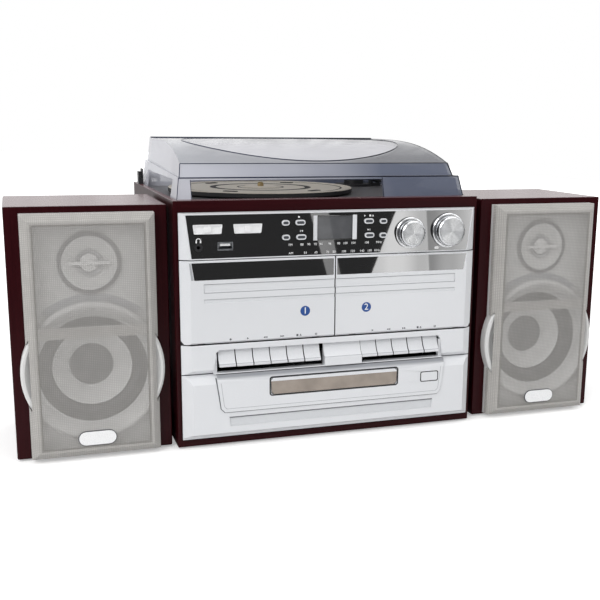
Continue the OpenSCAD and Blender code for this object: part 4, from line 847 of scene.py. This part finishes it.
lid = remade("dust_cover", "smoked_dust_cover", 0.3, angle=25)
for vert in lid.data.vertices:
    over = vert.co.z - setOut.z - cover["fold"] / 1000
    if over > 0:
        vert.co.z -= over * (1 - cover["flatten"])
dressed(lid, [smokeTop, smokeFront, smokeSidePaintedLight], coverFaces)
finished(lid, "cover", None, "smoked_acrylic", replaced=["dust_cover"], smooth=28)
lid.visible_shadow = False  # the light falls through the acrylic on the platter
alongTop = [46 + 234 * i / 16 for i in range(17)]
edgeLines = {  # the points of each dark edge, and how thick it is
    "fold": ([(-154, 46, 294.7), (154, 46, 294.7)], 0.9),
    "ledge": ([(-159, 27, 281), (159, 27, 281)], 1.3),
    "corner_left": ([(-156.6, 37.2, 281), (-154, 46, 294.6)], 0.9),
    "corner_right": ([(156.6, 37.2, 281), (154, 46, 294.6)], 1.5),
    "side_right": ([(154 - (crest(y) - 294.6) * 0.117, y, crest(y) - 0.3) for y in alongTop], 1.1),
    "back": ([(-150.4, 279.0, 317.55), (150.4, 279.0, 317.55)], 1.5),
    "skirt_right": ([(159, 27, 281), (162.8, 19.3, 256.4)], 1.2),
    "skirt_left": ([(-159, 27, 281), (-162.8, 19.3, 256.4)], 0.8),
    "gap_right": ([(66, 26.6, 280), (66, 19.3, 256.4)], 0.8),
    "gap_left": ([(-147, 26.4, 279), (-147, 19.3, 256.4)], 0.7),
    "gap_top": ([(-147, 25.8, 278.1), (66, 25.8, 278.1)], 0.8),
}
for name, (points, thick) in edgeLines.items():
    finished(bead("cover_" + name, points, thick), "cover", smokeEdge, smooth=60)
(x, y), (wide, deep) = cover["middle"], cover["half"]
turns = [2 * math.pi * i / 120 for i in range(120)]
oval = [(x + wide * 1000 * math.cos(a), y + deep * 1000 * math.sin(a)) for a in turns]
finished(bead("cover_window_edge", [(a, b, crest(b) - 0.1) for a, b in oval], 1.5, closed=True), "cover",
        smokeEdge, smooth=60)
# black lugs on the rim, beside the cover's rear corners
lug = {"shape": [(169.4, 259.9), (169.4, 275.5), (166.6, 275.5), (166.6, 267), (165.6, 267), (165.3, 279),
                 (163.7, 279), (163.7, 259.9)], "front": 258, "depth": 14}
for side, sense in (("left", -1), ("right", 1)):
    fitted("cover_lug_" + side, "main_unit", blackAbs, turned(lug["shape"], sense), lug["front"],
            lug["depth"], corner=0.3)
print("turntable and cover dressed")

# rear: sockets, terminals, mains pins and screws

rear = {
    "plate": 303.0, "round": ((-115, 1), (-95, 3)), "roundAt": (52, 76), "slots": (-72, -60, -48, -36),
    "pins": (103.2, 111.8), "pinAt": 42, "pinRadius": 1.2, "pinLong": 12, "headRadius": 3.1,
    "cross": (1.7, 0.35), "screws": ((-152, 18), (152, 18), (-152, 130), (152, 130), (-152, 242), (152, 242),
                                     (0, 242), (0, 18)),
}
speaker = {
    "x": (-252.8, 259.7), "front": 11.0, "grille": -7.0, "window": (53.5, 13.0, 239.0), "bar": (126.7, 137.6),
    "woofer": 90, "wooferBands": (22.2, 40.2, 51.2), "tweeter": 200, "tweeterBands": (9.0, 13.2, 26.9),
    "rimRadius": 55.6, "rimShadeRing": (71.4, 79, 52, 128), "terminals": ((-10, 1), (10, 4)),
    "badge": (22.5, 37, 14),
}


def rearFaces(p, n):  # red, chrome, white and grey where the sockets and terminals are, black elsewhere
    if abs(p.x) < 170:
        for mid, colour in rear["round"]:
            for high in rear["roundAt"]:
                r = math.hypot(p.x - mid, p.z - high)
                if r < 4.7 and p.y > rear["plate"]:
                    return colour if r < 4.3 and n.y > 0.5 else 2
        for i, mid in enumerate(rear["slots"]):
            outer = abs(p.x - mid) < 3.2 and 55.5 < p.z < 72.5 and p.y < 304.4 and n.y < 0.9
            if outer or abs(p.x - mid) < 2.9 and 56.1 < p.z < 71.9 and p.y < 300:
                return 1 if i % 2 else 4
        return 0
    for x in speaker["x"]:
        for mid, colour in speaker["terminals"]:
            if abs(p.x - x - mid) < 4.2 and 62.8 < p.z < 77.2 and p.y < 146.8:
                return colour
    return 0


rounded("rear_sockets", "rear_socket_plates", [blackAbs, redAbs, chrome, whiteAbs, greyAbs], rearFaces,
        simpler=False)
pins = [plaque("pin", ringLine(x, rear["pinAt"], rear["pinRadius"], 12), rear["plate"] - 15.5,
        rear["pinLong"]) for x in rear["pins"]]
finished(joined("mains_pins", pins), "main_unit", brass)
# painted shade: a flat black cross stands for each screw's cross recess
heads, crosses = [], []
long, thin = rear["cross"]
for x, z in rear["screws"]:
    heads.append(plaque("head", ringLine(x, z, rear["headRadius"], 20), rear["plate"] - 0.1, 1.2))
    crosses.append(plaque("cross", oblong(x - long, z - thin, x + long, z + thin), rear["plate"] + 1.08,
            0.06))
    crosses.append(plaque("cross", oblong(x - thin, z - long, x + thin, z + long), rear["plate"] + 1.1, 0.06))
finished(joined("back_screws", heads), "main_unit", zincSteel)
finished(joined("back_screw_cross_shade", crosses), "main_unit", blackAbs)
print("rear dressed")


# speakers: drivers, grille frames and cloth

def fromMiddle(p):  # how far to the side of the nearer speaker's middle
    return min((p.x - x for x in speaker["x"]), key=abs)


def driverFaces(height, bands):  # plain behind, and one finish for each ring in front
    def choose(p, n):
        if n.y > 0.1:
            return 0
        r = math.hypot(fromMiddle(p), p.z - height)
        for i, edge in enumerate(bands):
            if r < edge:
                return i + 1
        return len(bands) + 1
    return choose


ringed = driverFaces(speaker["tweeter"], speaker["tweeterBands"])
rims = driverFaces(speaker["woofer"], (speaker["rimRadius"],))


def tweeterFaces(p, n):  # a pale bar crosses each tweeter
    bar = p.y < 5.5 and abs(p.z - speaker["tweeter"]) < 1.6 and n.y < 0.1 and abs(fromMiddle(p)) < 21
    return 1 if bar else ringed(p, n)


rounded("woofers", "dressed_woofers", [zincSteel, capFabric, conePaper, rubber, baffleAbs],
        driverFaces(speaker["woofer"], speaker["wooferBands"]))
rounded("tweeters", "dressed_tweeters", [zincSteel, conePaper, tweeterPale, baffleAbs, tweeterDark],
        tweeterFaces, slotName="cone_paper", simpler=False)
rounded("speaker_baffles", "moulded_baffles", [baffleAbs, rubber], lambda p, n: 1 if rims(p, n) == 1 else 0,
        slotName="cone_paper", simpler=False)

half, low, high = speaker["window"]
barLow, barHigh = speaker["bar"]
cutSize = ((2 * half + 3) / 1000, (high - low + 3) / 1000)  # the cloth is glued down 1.5 mm all round
badgeHigh, badgeWide, badgeTall = speaker["badge"]
for side, x in zip(("left", "right"), speaker["x"]):
    node, body = "grille_" + side, "grille_" + side + "_body"
    # painted shade: a grey ring round each woofer's rim
    shadow = plaque("rim_shade_ring_" + side, arc(x, speaker["woofer"], *speaker["rimShadeRing"]),
            speaker["front"] - 4.15, 0.1)
    finished(shadow, "main_unit", shadeLineFaint, "black_plastic")
    # painted shade along the inner edge of the grille frame
    fitted("cloth_edge_shade_" + side, body, clothEdgeShade, oblong(x - half - 0.3, low - 0.3, x + half + 0.3,
            high + 0.3), speaker["grille"] - 0.2, 0.1, corner=1.5, border=1.1)
    framePiece = remade(node, "grille_frame_" + side, 1.2, steps=3)
    for z1, z2 in ((low, barLow), (barHigh, high)):  # two windows, above and below the bar
        cutter = fresh("cutter", bpy.ops.mesh.primitive_cube_add, size=1, location=at(x, speaker["grille"],
                (z1 + z2) / 2))
        cutter.scale = (2 * half / 1000, 0.006, (z2 - z1) / 1000)
        alone(framePiece)
        window = framePiece.modifiers.new("window", "BOOLEAN")
        window.operation = "DIFFERENCE"
        window.object = cutter
        window.solver = "EXACT"
        bpy.ops.object.modifier_apply(modifier=window.name)
        bpy.data.objects.remove(cutter)
    finished(framePiece, body, clothOver, replaced=[node])
    cloth = fresh("grille_cloth_" + side, bpy.ops.mesh.primitive_grid_add, x_subdivisions=24,
            y_subdivisions=48, size=1, location=at(x, speaker["grille"] - 0.05, (low + high) / 2),
            rotation=(math.pi / 2, 0, 0))
    cloth.scale = (*cutSize, 1)
    finished(cloth, body, clothSheer)
    fitted("blank_badge_" + side, body, whiteAbs, roundEnds(x, badgeHigh, badgeWide, badgeTall),
            speaker["grille"] - 1.3, 1.2)
    fitted("badge_edge_" + side, body, greyAbs, roundEnds(x, badgeHigh, badgeWide + 1.4, badgeTall + 1.4),
            speaker["grille"] - 0.9, 0.8)
print("speakers dressed")

# floor, lights and background

studio = {
    "floor": (-3.0, 3.0, -0.62, 9.0), "paper": "#F4F4F4", "glow": (0.35, 1.0), "world": 0.56,
    "darkEnd": 0.09,
    "lamps": (("left_softbox", (-1.7, -1.5, 1.7), 1.4, 36, (0, 0, 0.12)),
              ("top_softbox", (0.5, -0.3, 2.2), 1.8, 13, (0, 0, 0.1)),
              ("right_softbox", (1.9, -0.9, 1.2), 1.2, 6, (0.1, 0, 0.12))),
    # only glossy faces see these cards: three side by side, low on the right of the camera, and one
    # far behind the set; each has its place in depth, its corners, and its glow on the left and right
    "cards": (("low_card", -1.35, ((0.4636, -0.148), (0.68, -0.148), (0.64, 0.302), (0.6422, 0.302)),
               2.7, 2.6),
              ("far_card", -1.35, ((0.68, -0.148), (0.8, -0.148), (0.8, 0.302), (0.64, 0.302)), 1.2, 3.2),
              ("low_strip", -1.35, ((0.43, -0.148), (0.455, -0.148), (0.36, 0.302), (0.30, 0.302)),
               1.1, 1.1),
              ("back_card", 2.5, ((-2.5, 0.25), (3.5, 0.25), (3.5, 1.8), (-2.5, 1.8)), 1.15, 1.15)),
}


def makeStudio(look):
    x1, x2, y1, y2 = look["floor"]
    middle = ((x1 + x2) / 2, (y1 + y2) / 2, 0)
    floor = fresh("paper_floor", bpy.ops.mesh.primitive_plane_add, size=1, location=middle)
    floor.scale = (x2 - x1, y2 - y1, 1)
    bpy.ops.object.transform_apply(location=True, rotation=True, scale=True)
    paper, tree, shader = blank("matt_white_paper", {"Base Color": tint(look["paper"]), "Roughness": 0.9,
            "Specular IOR Level": 0.1})
    rays = add(tree, "LightPath")
    place = add(tree, "SeparateXYZ", {"Vector": add(tree, "TexCoord").outputs["Object"]})
    glow = add(tree, "MapRange", {"Value": place.outputs["Y"], "From Min": 0.25, "From Max": 1.6,
            "To Min": look["glow"][0], "To Max": look["glow"][1]})
    seen = add(tree, "Math", {0: rays.outputs["Is Camera Ray"], 1: glow}, operation="MULTIPLY")
    feed(shader, {"Emission Color": (1, 1, 1, 1), "Emission Strength": seen})
    floor.data.materials.append(paper)

    world = bpy.data.worlds.new("pale_studio")
    bpy.context.scene.world = world
    world.use_nodes = True
    tree = world.node_tree
    back = tree.nodes["Background"]
    rays = add(tree, "LightPath")
    seen = add(tree, "Math", {0: rays.outputs["Is Camera Ray"], 1: rays.outputs["Is Transmission Ray"]},
            operation="MAXIMUM")
    # the far end of the studio, behind the camera, is dark: glossy faces that point there show it
    apart = add(tree, "SeparateXYZ", {"Vector": add(tree, "TexCoord").outputs["Generated"]})
    ahead = add(tree, "MapRange", {"Value": apart.outputs["Y"], "From Min": -0.35, "From Max": -0.75,
            "To Min": 0.0, "To Max": 1.0}, interpolation_type="SMOOTHSTEP")
    below = add(tree, "MapRange", {"Value": apart.outputs["Z"], "From Min": 0.45, "From Max": 0.1,
            "To Min": 0.0, "To Max": 1.0}, interpolation_type="SMOOTHSTEP")
    dark = add(tree, "Math", {0: ahead, 1: below}, operation="MULTIPLY")
    glossy = add(tree, "MapRange", {"Value": dark, "To Min": 1.0, "To Max": look["darkEnd"]})
    strength = add(tree, "Mix", {0: rays.outputs["Is Glossy Ray"], 2: look["world"], 3: glossy},
            data_type="FLOAT")
    strength = add(tree, "Mix", {0: seen, 2: strength, 3: 1.0}, data_type="FLOAT")
    feed(back, {"Color": (1, 1, 1, 1), "Strength": strength})

    for name, place, size, power, target in look["lamps"]:
        bpy.ops.object.light_add(type="AREA", location=place)
        lamp = started(name)
        lamp.data.size = size
        lamp.data.energy = power
        lamp.rotation_euler = (Vector(target) - Vector(place)).to_track_quat("-Z", "Y").to_euler()

    for name, depth, corners, leftGlow, rightGlow in look["cards"]:
        board = fresh(name, bpy.ops.mesh.primitive_circle_add, vertices=4, fill_type="NGON")
        for vert, (x, z) in zip(board.data.vertices, corners):
            vert.co = (x, depth, z)
        lit, tree, shader = blank(name, {"Base Color": (0, 0, 0, 1), "Emission Color": (1, 1, 1, 1)})
        place = add(tree, "TexCoord").outputs["Object"]
        across = add(tree, "SeparateXYZ", {"Vector": place}).outputs["X"]
        run = add(tree, "MapRange", {"Value": across, "From Min": corners[0][0], "From Max": corners[1][0],
                "To Min": leftGlow, "To Max": rightGlow})
        drawn = add(tree, "Mapping", {"Vector": place, "Rotation": (0, -0.35, 0), "Scale": (7, 1, 0.6)})
        folds = add(tree, "TexNoise", {"Vector": drawn, "Scale": 2.0, "Detail": 0.0})
        folds = add(tree, "MapRange", {"Value": folds, "From Min": 0.3, "From Max": 0.7, "To Min": 0.82,
                "To Max": 1.14})
        glow = add(tree, "Math", {0: run, 1: folds}, operation="MULTIPLY")
        feed(shader, {"Emission Strength": glow})
        board.data.materials.append(lit)
        board.visible_camera = board.visible_diffuse = False
        board.visible_shadow = board.visible_transmission = False


makeStudio(studio)

bpy.context.scene.view_settings.view_transform = "Standard"
print("scene ready")
